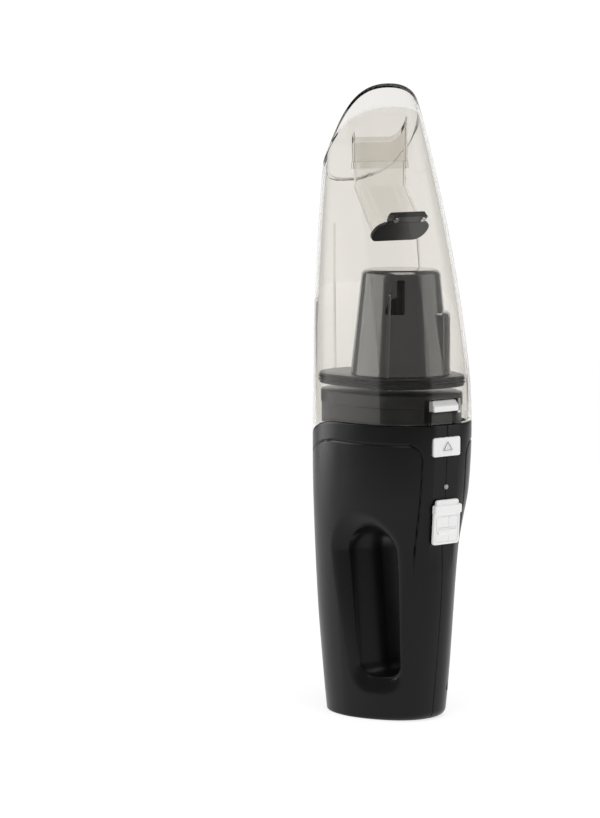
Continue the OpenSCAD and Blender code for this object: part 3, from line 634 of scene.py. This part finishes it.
def housing_half(name, side):
    """One half of the handle: side is 1 for the right one, -1 for the left."""
    skin, t, outer = half_skin(name)
    wall = closed_rings("slot_wall", slot_rings(2.4, -1.5, 60))
    boolean(wall, fill_solid("fill", t, outer), "INTERSECT")
    join(skin, wall)
    cut(skin, closed_rings("slot_cut", slot_rings(0, -2.0, 60)))
    cut(skin, box_block("seam_cut", (-20, -70, -10), (SEAM, 70, 220)))
    cut(skin, front_block("button_cut", *BUTTON_HOLE))
    cut(skin, rod("led_cut", (0, -38, LED_Z), (0, -62, LED_Z), LED_R))
    cut(skin, rod("socket_cut", (0, 30, SOCKET_Z), (0, 55, SOCKET_Z), SOCKET_R))
    for k in range(6):
        cut(skin, front_block("vent_cut", 11, 2.4, 1.15, VENT_Z + VENT_PITCH * k, -46, -62, x=VENT_X))
    if side > 0:
        for depth, z, head in SCREWS:
            hole = rod("screw_cut", (head - SCREW_HEAD_H, -depth, z), (50, -depth, z), SCREW_HOLE_R)
            cut(skin, hole)
    if side < 0:
        skin.data.transform(Matrix.Diagonal((-1, 1, 1, 1)))
        skin.data.flip_normals()
    return paint(shade(skin), black_shell)


right_shell = housing_half("right_shell", 1)
left_shell = housing_half("left_shell", -1)
for piece, node in ((right_shell, "right_housing"), (left_shell, "left_housing")):
    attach(piece, "handle")
    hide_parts(node)

# ---------------------------------------------------------------- dust cup
CUP_T = 2.2
CUP_GAP = 0.6
CUP_EDGE = 0.5
FLOOR_T = 2.0
COLLAR_W = 42.0
COLLAR_D = 16.0
COLLAR_T = 1.6
COLLAR_Z = BODY_H - 51
MOUTH_WALL_Z = BODY_H - 28
MOUTH_SLOPE = 1.12
INLET_DEPTH = -11.0
HOOK = {"z": 206.0, "w": 21.4, "h": 7.0, "front": 53.6, "back": 48.8}


def mouth_at(t, inset, wall=None):
    """Height where the outline meets the mouth's rim, or a level of its inner wall."""
    low = np.full(np.shape(t), 300.0)
    high = np.full(np.shape(t), 424.0)
    for _ in range(30):
        mid = (low + high) / 2
        depth = -rim(t, mid, inset)[..., 1]
        if wall is None:
            limit = curve(MOUTH, depth)
        else:
            limit = MOUTH_WALL_Z + MOUTH_SLOPE * (depth - INLET_DEPTH) + wall
        under = limit > mid
        low = np.where(under, mid, low)
        high = np.where(under, high, mid)
    return low


def full_angles(z, step):
    """Angles all round a section, a step apart."""
    half = spread_angles(z, [], step)
    return np.concatenate([half, (360 - half[::-1])[1:-1]])


def from_front(t):
    """How far angle t is turned from the front, either way."""
    return np.minimum(t % 360, 360 - t % 360)


def edge_height(t):
    """Height of the dark edge of painted shade on the mouth's rim: tallest either side of the tip."""
    turn = from_front(t)
    return 0.12 + 0.55 * np.exp(-((turn - 70) / 30) ** 2) + 0.25 * np.exp(-(turn / 40) ** 2)


def mouth_edge(t):
    """Dark edge of painted shade on the cup's wall, where refraction darkens the rim: as wide as the wall
    round the tip, a thin line round the rear.
    """
    wide = (CUP_T - 0.5) * (0.04 + 0.96 / (1 + np.exp((from_front(t) - 105) / 6))) + 0.4
    low = edge_height(t) - 0.03
    profile = [(0.02, low), (0.0, low * 0.6), (0.1, 0.15), (0.25, 0.0), (wide - 0.25, 0.0),
               (wide - 0.12, 0.15), (wide - 0.03, low * 0.6), (wide - 0.05, low)]
    section = [rim(t, mouth_at(t, inset) - drop, inset) for inset, drop in profile]
    points = np.stack(section, axis=1)
    m, n = points.shape[:2]
    faces = []
    for j in range(m):
        for i in range(n):
            a, b = j * n + i, j * n + (i + 1) % n
            c, d = (j + 1) % m * n + (i + 1) % n, (j + 1) % m * n + i
            faces.append((a, b, c, d))
    return shade(paint(new_object("mouth_edge", points.reshape(-1, 3), faces), painted_rim_shade), 50)


def cup_rib(side):
    """Thin upright rib inside the cup's flank."""
    t = 97 if side > 0 else 263
    rings = []
    for z in np.linspace(228, 322, 20):
        wall = rim(t, z, CUP_T - 0.4)
        tip = rim(t, z, CUP_T + 1.6)
        rings.append([wall + [0, 0.5, 0], wall - [0, 0.5, 0], tip - [0, 0.35, 0], tip + [0, 0.35, 0]])
    return closed_rings("rib", rings)


def cup_body():
    """The cup's wall from its foot on the joint up to the mouth, closed by the mouth's sloping floor."""
    t = full_angles(250, 1.2)
    foot = joint_at(t) + CUP_GAP
    rings = []
    inner_top = mouth_at(t, CUP_T, -FLOOR_T)
    for u in np.linspace(1, 0, 110):
        rings.append(rim(t, foot + CUP_EDGE + (inner_top - foot - CUP_EDGE) * u, CUP_T))
    turn = np.radians([20, 55, 90])
    for a in turn:
        rings.append(rim(t, foot + CUP_EDGE * (1 - math.sin(a)), CUP_T - CUP_EDGE * (1 - math.cos(a))))
    for a in turn[::-1]:
        rings.append(rim(t, foot + CUP_EDGE * (1 - math.sin(a)), CUP_EDGE * (1 - math.cos(a))))
    top = mouth_at(t, 0) - edge_height(t)
    for u in np.linspace(0, 1, 150):
        rings.append(rim(t, foot + CUP_EDGE + (top - foot - CUP_EDGE) * u))
    rim_low = mouth_at(t, CUP_T) - edge_height(t)
    rings.append(rim(t, rim_low, CUP_T))
    mouth_floor = mouth_at(t, CUP_T, 0.0)
    for u in np.linspace(0, 1, 24):
        rings.append(rim(t, np.maximum(rim_low + (mouth_floor - rim_low) * u, mouth_floor), CUP_T))
    m, n = len(rings), len(t)
    points = np.concatenate([np.concatenate(rings), [[0, -INLET_DEPTH, MOUTH_WALL_Z - FLOOR_T]],
                             [[0, -INLET_DEPTH, MOUTH_WALL_Z]]])
    faces = grid_faces(m, n, wrap=True)
    for i in range(n):
        faces.append(((i + 1) % n, i, m * n))
        faces.append(((m - 1) * n + i, (m - 1) * n + (i + 1) % n, m * n + 1))
    return new_object("cup", points, faces)


def upright_prism(name, w, d, z0, z1):
    """Upright prism with rounded corners about the inlet's axis."""
    ring = rounded_outline(w, d, d / 2 - 1, 14)
    rings = [np.stack([ring[:, 0], ring[:, 1] - INLET_DEPTH, np.full(len(ring), z)], axis=-1)
             for z in (z0, z1)]
    return closed_rings(name, rings)


def build_cup():
    """The clear cup with its collar, the inlet through it, the latch's window and the ribs."""
    cup = cup_body()
    collar = upright_prism("collar", COLLAR_W, COLLAR_D, COLLAR_Z, MOUTH_WALL_Z + 20)
    lid = box_block("lid", (-40, -60, 0), (40, 60, 80))
    lid.data.transform(Matrix.Translation((0, -INLET_DEPTH * MM, (MOUTH_WALL_Z - 1) * MM))
                       @ Matrix.Rotation(-math.atan(MOUTH_SLOPE), 4, "X"))
    cut(collar, lid)
    join(cup, collar)
    passage = upright_prism("passage", COLLAR_W - 2 * COLLAR_T, COLLAR_D - 2 * COLLAR_T, COLLAR_Z - 1,
                            MOUTH_WALL_Z + 30)
    cut(cup, passage)
    window = front_block("window", HOOK["w"] + 2.6, HOOK["h"] + 2.4, 1.2, HOOK["z"], 45, 70)
    cut(cup, window)
    for side in (1, -1):
        join(cup, cup_rib(side))
    return paint(shade(cup, 30), clear_cup)


cup = build_cup()
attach(cup, "cup")
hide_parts("dust_cup", "inlet_collar")
# dark edge of painted shade along the mouth's rim
edge = mouth_edge(full_angles(400, 1.5))
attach(edge, "cup")

# ---------------------------------------------------------------- neck, flange and filter
NECK_Z = 213.0
COWL = {"z0": 166.0, "z1": 213.0, "inset": 5.5, "wall": 2.2}
FLANGE_Z = 217.0
SEAL_Z = (219.1, 221.9)
FILTER_DEPTH = 9.7
FILTER_Z = 224.0
FILTER_R = 32.5
FILTER_TOP_R = 25.7
FILTER_H = 68.0
FILTER_ROUND = 4.0
LUG_TURN = 48.0
LUG_H = 41.0
LUG_W = 34.0
LUG_ROUND = 3.0
RECESS_TURNS = (-50, 70, 190)
RECESS_Z = FILTER_Z + 51.5
RIB_TURNS = (-57.5, 122.5)


def neck_loft(name, profile, steps=160):
    """Solid with the neck's outline; the profile lists heights and how far each is drawn in."""
    t = np.linspace(0, 360, steps, endpoint=False)
    rings = []
    for z, inset in profile:
        ring = rim(t, NECK_Z, inset)
        ring[:, 2] = z
        rings.append(ring)
    return closed_rings(name, rings)


def neck_shell():
    """The black neck under the flange, with the pocket for the latch and the motor's eye."""
    z0, z1, inset, wall = COWL["z0"], COWL["z1"], COWL["inset"], COWL["wall"]
    neck = neck_loft("neck_shell", [(z0, inset + 0.4), (z0 + 0.4, inset), (z1 - 8.6, inset),
                                    (z1 - 8.2, inset - 0.5), (z1 - 1.0, inset - 0.5),
                                    (z1 - 0.3, inset - 0.2), (z1, inset + 0.5)])
    cut(neck, neck_loft("inside", [(z0 - 1, inset + wall), (z1 - wall, inset + wall)]))
    join(neck, box_block("pocket", (-16, -46.5, z0), (16, -36, z0 + 45)))
    cut(neck, box_block("pocket_cut", (-14, -60, z0 + 2), (14, -38, z0 + 44)))
    cut(neck, rod("eye", (0, 0, 200), (0, 0, 220), 15.2, 96))
    return shade(paint(neck, neck_plastic))


def flange_plate():
    """The filter's flange, with a groove round its edge for the seal."""
    low, high = SEAL_Z
    top = FILTER_Z
    plate = neck_loft("flange_plate", [(FLANGE_Z, 4.5), (FLANGE_Z + 0.4, 4.05), (low - 0.3, 4.05), (low, 4.3),
                                       (low + 0.02, 6.0), (high - 0.02, 6.0), (high, 4.3), (high + 0.3, 4.05),
                                       (top - 0.6, 4.05), (top - 0.2, 4.5), (top, 5.2)])
    hub = rod("hub", (0, -FILTER_DEPTH, top - 0.5), (0, -FILTER_DEPTH, top + 1), FILTER_R - 2.4, 96)
    join(plate, hub)
    cut(plate, rod("hole", (0, -FILTER_DEPTH, 210), (0, -FILTER_DEPTH, 230), 19, 96))
    return shade(paint(plate, neck_plastic))


def seal_lips():
    """The soft seal in the flange's groove: two lips with a hollow between them."""
    low, high = SEAL_Z
    lips = neck_loft("seal_lips", [(low + 0.02, 4.2), (low + 0.1, 3.4), (low + 0.45, 3.32), (low + 0.8, 3.7),
                                   (low + 1.0, 4.6), (high - 1.0, 4.6), (high - 0.8, 3.7),
                                   (high - 0.45, 3.32),
                                   (high - 0.1, 3.4), (high - 0.02, 4.2)])
    cut(lips, neck_loft("core", [(low - 1, 6.02), (high + 1, 6.02)]))
    return shade(paint(lips, flap_rubber))


def filter_radius(z):
    """Radius of the filter cone at a height above its foot, with a rounded top edge."""
    shoulder = FILTER_H - FILTER_ROUND
    side = FILTER_R + (FILTER_TOP_R - FILTER_R) * z / shoulder
    over = np.maximum(z - shoulder, 0)
    rounded = FILTER_TOP_R - FILTER_ROUND + np.sqrt(np.maximum(FILTER_ROUND ** 2 - over ** 2, 0))
    return np.where(z > shoulder, rounded, side)


def disc(z, radius, steps=144):
    """Ring of points round the filter's axis, at a height above its foot."""
    a = np.linspace(0, 2 * np.pi, steps, endpoint=False)
    return np.stack([radius * np.sin(a), -FILTER_DEPTH - radius * np.cos(a), np.full(steps, FILTER_Z + z)],
                    axis=-1)


def lug_ring(z, grow):
    """Outline of the upright lug: the cone's foot circle, cut flat at both sides."""
    ring = disc(z, FILTER_R - 0.4 + grow)
    ring[:, 0] = np.clip(ring[:, 0], -LUG_W / 2 - grow, LUG_W / 2 + grow)
    ring[:, 1] = np.minimum(ring[:, 1], -FILTER_DEPTH - 13.0)
    return ring


def aimed(obj, azimuth):
    """Turns a piece made at the front of the filter to face the azimuth."""
    centre = Matrix.Translation((0, -FILTER_DEPTH * MM, 0))
    obj.data.transform(centre @ Matrix.Rotation(math.radians(azimuth), 4, "Z") @ centre.inverted())
    return obj


def filter_rib():
    """Thin upright rib on the cone's flank."""
    rings = []
    for z, proud in ((0, 0.7), (52, 0.7), (52.8, -0.4)):
        reach = FILTER_DEPTH + filter_radius(np.array(z)) + proud
        section = [(-0.9, reach - 2), (0.9, reach - 2), (0.9, reach - 0.35), (0.6, reach), (-0.6, reach),
                   (-0.9, reach - 0.35)]
        rings.append([[x, -depth, FILTER_Z + z] for x, depth in section])
    return closed_rings("rib", rings)


def filter_cone():
    """The filter's hollow black cone, with its lug, its recessed slots and its ribs."""
    shoulder = FILTER_H - FILTER_ROUND
    heights = np.concatenate([[0, 0.4], np.linspace(1, shoulder, 60),
                              shoulder + FILTER_ROUND * np.sin(np.radians([20, 40, 60, 75, 86]))])
    rings = [disc(z, filter_radius(z) - (0.4 if z == 0 else 0)) for z in heights]
    cone = closed_rings("filter_cone", rings)
    lug = [lug_ring(z, 0) for z in np.linspace(0.1, LUG_H - LUG_ROUND, 30)]
    lug += [lug_ring(LUG_H - LUG_ROUND + LUG_ROUND * math.sin(a), -LUG_ROUND * (1 - math.cos(a)))
            for a in np.radians([25, 50, 75, 88])]
    join(cone, aimed(closed_rings("lug", lug), LUG_TURN))
    inside = [disc(-1, FILTER_R - 1.8), disc(FILTER_H - 2, FILTER_TOP_R - 1.6)]
    cut(cone, closed_rings("inside", inside))
    for azimuth in RECESS_TURNS:
        recess = front_block("recess", 12.6, 23, 1.2, RECESS_Z, FILTER_DEPTH + 25.6, FILTER_DEPTH + 40)
        cut(cone, aimed(recess, azimuth))
        opening = front_block("opening", 5, 21, 1.0, RECESS_Z, FILTER_DEPTH + 18, FILTER_DEPTH + 40, x=3.5)
        cut(cone, aimed(opening, azimuth))
    for azimuth in RIB_TURNS:
        join(cone, aimed(filter_rib(), azimuth))
    return shade(paint(cone, filter_plastic))


INNER = [(neck_shell(), "handle", "motor_cowl", "neck_plastic"),
         (flange_plate(), "filter", "filter_flange", "neck_plastic"),
         (seal_lips(), "filter", "cup_seal", "flap_rubber"),
         (filter_cone(), "filter", "filter_shell", "filter_plastic")]
for piece, body, node, slot in INNER:
    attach(piece, body)
    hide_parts(node)

# ---------------------------------------------------------------- controls
BUTTON = {"z": 180.0, "w": 23.6, "h": 12.4, "face": 55.4, "back": 48.2, "bow": 70.0}
PLATE_DEPTH = (47, 48.8)
SLIDER = {"z": 131.5, "base": 52.6, "lean": 3.2, "w": 22.6, "l": 29.0, "tab": 4.4, "lip": 5.8}


def pad(name, w, h, r, z, back, front, edge, bow=0.0):
    """Rounded pad that faces the front, with a rounded edge and a gently bowed face."""
    rings = []
    for depth, inset in [(back, 0)] + [(front - edge * (1 - math.sin(a)), edge * (1 - math.cos(a)))
                                       for a in np.radians([0, 20, 40, 60, 80, 90])]:
        ring = rounded_outline(w - 2 * inset, h - 2 * inset, max(r - inset, 0.15), 6)
        rings.append(np.stack([ring[:, 0], np.full(len(ring), -depth), ring[:, 1] + z], axis=-1))
    rings = np.array(rings)
    if bow:
        face = rings[1:]
        face[..., 1] += bow - np.sqrt(bow ** 2 - face[..., 0] ** 2)
    return closed_rings(name, rings)


def triangle_line(name, size, line, z, back, front):
    """Upright triangle outline, from depth back to depth front."""
    def prism(label, r, depths):
        corners = [(r * math.sin(a), r * math.cos(a) * 0.82 - 0.1 * size) for a in np.radians([0, 120, 240])]
        return closed_rings(label, [[[x, -depth, z + y] for x, y in corners] for depth in depths])
    outer = prism(name, size, (back, front))
    return cut(outer, prism("inner", size - 2 * line, (back - 1, front + 1)))


def lay_on_strip(obj):
    """Moves a piece made round the slider's own middle to its place on the leaning strip."""
    place = Matrix.Translation((0, -SLIDER["base"] * MM, SLIDER["z"] * MM))
    obj.data.transform(place @ Matrix.Rotation(math.radians(SLIDER["lean"]), 4, "X"))
    return obj


def bowed_button():
    """The release button, on the flange that keeps it in the housing."""
    body = pad("button_pad", BUTTON["w"], BUTTON["h"], 1.5, BUTTON["z"], BUTTON["back"], BUTTON["face"],
               0.7, BUTTON["bow"])
    flange = front_block("flange", BUTTON["w"] + 2.6, BUTTON["h"] + 2.4, 1, BUTTON["z"], *PLATE_DEPTH)
    return shade(paint(join(body, flange), white_control))


def hook_tongue():
    """The latch's hook, whose upper face slopes back."""
    hook = pad("latch_tongue", HOOK["w"], HOOK["h"], 0.8, HOOK["z"], HOOK["back"] - 0.2, HOOK["front"], 0.4)
    ramp = box_block("ramp", (-20, -10, 0), (20, 10, 10))
    ramp.data.transform(Matrix.Translation((0, -HOOK["front"] * MM, HOOK["z"] * MM))
                        @ Matrix.Rotation(math.radians(45), 4, "X"))
    cut(hook, ramp)
    return shade(paint(hook, white_control))


def slider_knob():
    """The power slider: a tab, a lip, and a framed pad with two ridges."""
    w, length, tab, lip = (SLIDER[key] for key in ("w", "l", "tab", "lip"))
    knob = pad("slider_knob", w, length - tab, 2.0, -tab / 2, 0.3, 2.2, 0.6)
    join(knob, pad("top", w - 3, length, 2.0, 0, 0.35, 2.1, 0.6))
    join(knob, pad("lip", w + 0.8, lip, 1.2, length / 2 - tab - lip / 2 + 1.2, 0.32, 3.6, 1.1))
    frame_out = front_block("frame_cut", w - 3.2, 17, 1.2, -4.4, 1.75, 3)
    cut(frame_out, front_block("frame_in", w - 4.2, 16, 0.8, -4.4, 1, 4))
    cut(knob, frame_out)
    for z, h in ((0.2, 7.6), (-10.6, 3.4)):
        cut(knob, front_block("middle_line", 0.4, h, 0.15, z, 1.85, 3, x=1.4))
    join(knob, pad("ridge", w - 6, 3.2, 0.9, -6.2, 1.5, 3.0, 0.7))
    join(knob, pad("upper_ridge", w - 6, 0.8, 0.35, -3.4, 1.5, 2.5, 0.3))
    join(knob, front_block("stem", 8, 9, 1, -1.5, -6, 1))
    return shade(paint(lay_on_strip(knob), white_control))


CONTROLS = [(bowed_button(), "release", "release_button"), (hook_tongue(), "release", "latch_hook"),
            (slider_knob(), "slider", "power_slider")]
for piece, body, node in CONTROLS:
    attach(piece, body)
    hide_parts(node)
plate = front_block("latch_plate", 18, 18, 0.8, BUTTON["z"] + BUTTON["h"] / 2 + 10.2, *PLATE_DEPTH)
shade(paint(plate, neck_plastic))
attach(plate, "release")
mark = triangle_line("button_mark", 4.6, 0.22, BUTTON["z"], BUTTON["face"] - 0.4, BUTTON["face"] + 0.02)
paint(mark, grey_mark)
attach(mark, "release")

# ---------------------------------------------------------------- carried-over CAD nodes
# nodes inside the cup, which the inner lights reach
IN_CUP = ("inlet_duct", "duct_band", "flap_valve", "flap_retainer", "flap_screws")
# each node's material, and the width of its rounded edges in millimetres
CAD_LOOKS = {
    "intake_grille": (neck_plastic, 0.25), "flap_retainer": (neck_plastic, 0.4),
    "inlet_duct": (clear_duct, 0), "duct_band": (clear_duct, 0.3),
    "flap_valve": (flap_rubber, 0.35), "flap_screws": (steel, 0.15),
    "housing_screws": (steel, 0.2), "filter_element": (pleat_paper, 0), "motor_can": (steel, 0.6),
    "motor_armature": (copper_wire, 0.2), "motor_shaft": (steel, 0.2), "motor_mount": (mount_rubber, 0.4),
    "fan_impeller": (pale_metal, 0.15), "fan_shroud": (pale_metal, 0.5), "motor_gasket": (foam, 0.5),
    "exhaust_foam": (foam, 0.5), "battery_cells": (cell_sleeve, 0.8), "battery_tray": (tray_plastic, 0.4),
    "battery_strips": (nickel, 0.1), "control_board": (board_green, 0.15),
    "slide_switch": (tray_plastic, 0.3),
    "latch_spring": (steel, 0), "led_lens": (lens, 0.3), "charge_socket": (tray_plastic, 0.3),
    "charge_contacts": (gold, 0.2),
}
for node, (material, bevel) in CAD_LOOKS.items():
    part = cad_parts[node]
    part.data.materials.clear()
    part.data.materials.append(material)
    if bevel:
        rounding = part.modifiers.new("rounded edges", "BEVEL")
        rounding.width = bevel * MM
        rounding.segments = 2
        rounding.limit_method = "ANGLE"
        rounding.angle_limit = math.radians(40)

# ---------------------------------------------------------------- camera, light and floor
# the view is turned and tipped a little off the object, which stands right of the middle
AZIMUTH = -42.0
DISTANCE = 2.0
CAMERA_Z = 0.409
TURNED = 1.694
TIPPED = -5.97
away = math.radians(AZIMUTH)
camera_data = bpy.data.cameras.new("camera")
camera = linked("camera", camera_data)
bpy.context.scene.camera = camera
camera_data.sensor_width = 36
camera_data.lens = 135.4
camera.location = (DISTANCE * math.sin(away), -DISTANCE * math.cos(away), CAMERA_Z)
heading = math.radians(90 + AZIMUTH + TURNED)
pitch = math.radians(TIPPED)
forward = Vector((math.cos(heading) * math.cos(pitch), math.sin(heading) * math.cos(pitch), math.sin(pitch)))
camera.rotation_mode = "QUATERNION"
camera.rotation_quaternion = forward.to_track_quat("-Z", "Y")


AIM = Vector((0, 0, 0.2))


def area_light(name, azimuth, elevation, distance, size, power):
    """Soft light that looks at AIM from the given direction."""
    data = bpy.data.lights.new(name, "AREA")
    data.shape = "RECTANGLE"
    data.size, data.size_y = size
    data.energy = power
    light = linked(name, data)
    a, e = math.radians(azimuth), math.radians(elevation)
    back = Vector((math.sin(a) * math.cos(e), -math.cos(a) * math.cos(e), math.sin(e)))
    light.location = AIM + back * distance
    light.rotation_mode = "QUATERNION"
    light.rotation_quaternion = (-back).to_track_quat("-Z", "Y")
    return light


def light_only(light, receivers):
    """Keeps a light to some of the objects."""
    group = bpy.data.collections.new(light.name)
    for obj in receivers:
        group.objects.link(obj)
    light.light_linking.receiver_collection = group


left_box = area_light("left_box", -156, 12, 1.6, (0.8, 1.6), 20)
right_box = area_light("right_box", 44, 6, 1.6, (0.5, 1.6), 5)
area_light("top_box", -30, 72, 1.8, (1.4, 1.4), 14)
control_box = area_light("control_box", 6, 15, 1.6, (0.6, 0.6), 4)
inner_left = area_light("inner_left", -127, 10, 1.6, (2.2, 1.4), 10.5)
inner_right = area_light("inner_right", 44, 10, 1.6, (1.5, 1.4), 4)
# the side lights leave out the cup, which would show them as glare; the inner ones reach what is in it
not_cup = [obj for obj in bpy.context.scene.objects if obj.type == "MESH" and obj not in (cup, edge)]
for light in (left_box, right_box):
    light_only(light, not_cup)
light_only(control_box, [piece for piece, *_ in CONTROLS])
inside = [cup, edge] + [piece for piece, *_ in INNER] + [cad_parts[node] for node in IN_CUP]
for light in (inner_left, inner_right):
    light_only(light, inside)

world = bpy.data.worlds.new("studio")
bpy.context.scene.world = world
world.use_nodes = True
world.node_tree.nodes["Background"].inputs["Color"].default_value = (1, 1, 1, 1)
world.node_tree.nodes["Background"].inputs["Strength"].default_value = 0.25

FLOOR_GLOW = 0.78
BACKDROP_DISTANCE = 4.5


def sheet(name, corners, material):
    """One flat face for the stage."""
    mesh = bpy.data.meshes.new(name)
    mesh.from_pydata(corners, [], [(0, 1, 2, 3)])
    mesh.materials.append(material)
    return linked(name, mesh)


floor_paint = node_material("floor_paint", (0.5, 0.5, 0.5), 0.7, Specular_IOR_Level=0.0,
                            Emission_Color=(1, 1, 1, 1))
floor = sheet("floor", [(-6, -6, 0), (6, -6, 0), (6, 6, 0), (-6, 6, 0)], floor_paint)
place = add_node(floor_paint, "ShaderNodeTexCoord")
floor_links = floor_paint.node_tree.links
# the floor's glow fades in front of the object and to both sides, so that dark faces don't mirror it
glow = None
for direction, start, end in (((math.sin(away), -math.cos(away), 0), 0.6, 1.0),
                              ((math.cos(away), math.sin(away), 0), 0.9, 1.4),
                              ((-math.cos(away), -math.sin(away), 0), 0.9, 1.4)):
    along = add_node(floor_paint, "ShaderNodeVectorMath", operation="DOT_PRODUCT")
    along.inputs[1].default_value = direction
    fade = add_node(floor_paint, "ShaderNodeMapRange")
    for socket, value in (("From Min", start), ("From Max", end), ("To Min", 1.0), ("To Max", 0.1)):
        fade.inputs[socket].default_value = value
    share = add_node(floor_paint, "ShaderNodeMath", operation="MULTIPLY")
    floor_links.new(place.outputs["Object"], along.inputs[0])
    floor_links.new(along.outputs["Value"], fade.inputs["Value"])
    floor_links.new(fade.outputs["Result"], share.inputs[0])
    share.inputs[1].default_value = FLOOR_GLOW
    if glow:
        floor_links.new(glow, share.inputs[1])
    glow = share.outputs["Value"]
floor_links.new(glow, floor_paint.node_tree.nodes["Principled BSDF"].inputs["Emission Strength"])
backdrop_paper = node_material("backdrop_paper", (0.05, 0.05, 0.05), 0.8, Specular_IOR_Level=0.0,
                               Emission_Color=(1, 1, 1, 1), Emission_Strength=1.0)
backdrop = sheet("backdrop", [(-3, 0, -0.5), (3, 0, -0.5), (3, 0, 3.5), (-3, 0, 3.5)], backdrop_paper)
backdrop.location = (-BACKDROP_DISTANCE * math.sin(away), BACKDROP_DISTANCE * math.cos(away), 0)
backdrop.rotation_euler = (0, 0, away)
bpy.context.scene.view_settings.view_transform = "Standard"
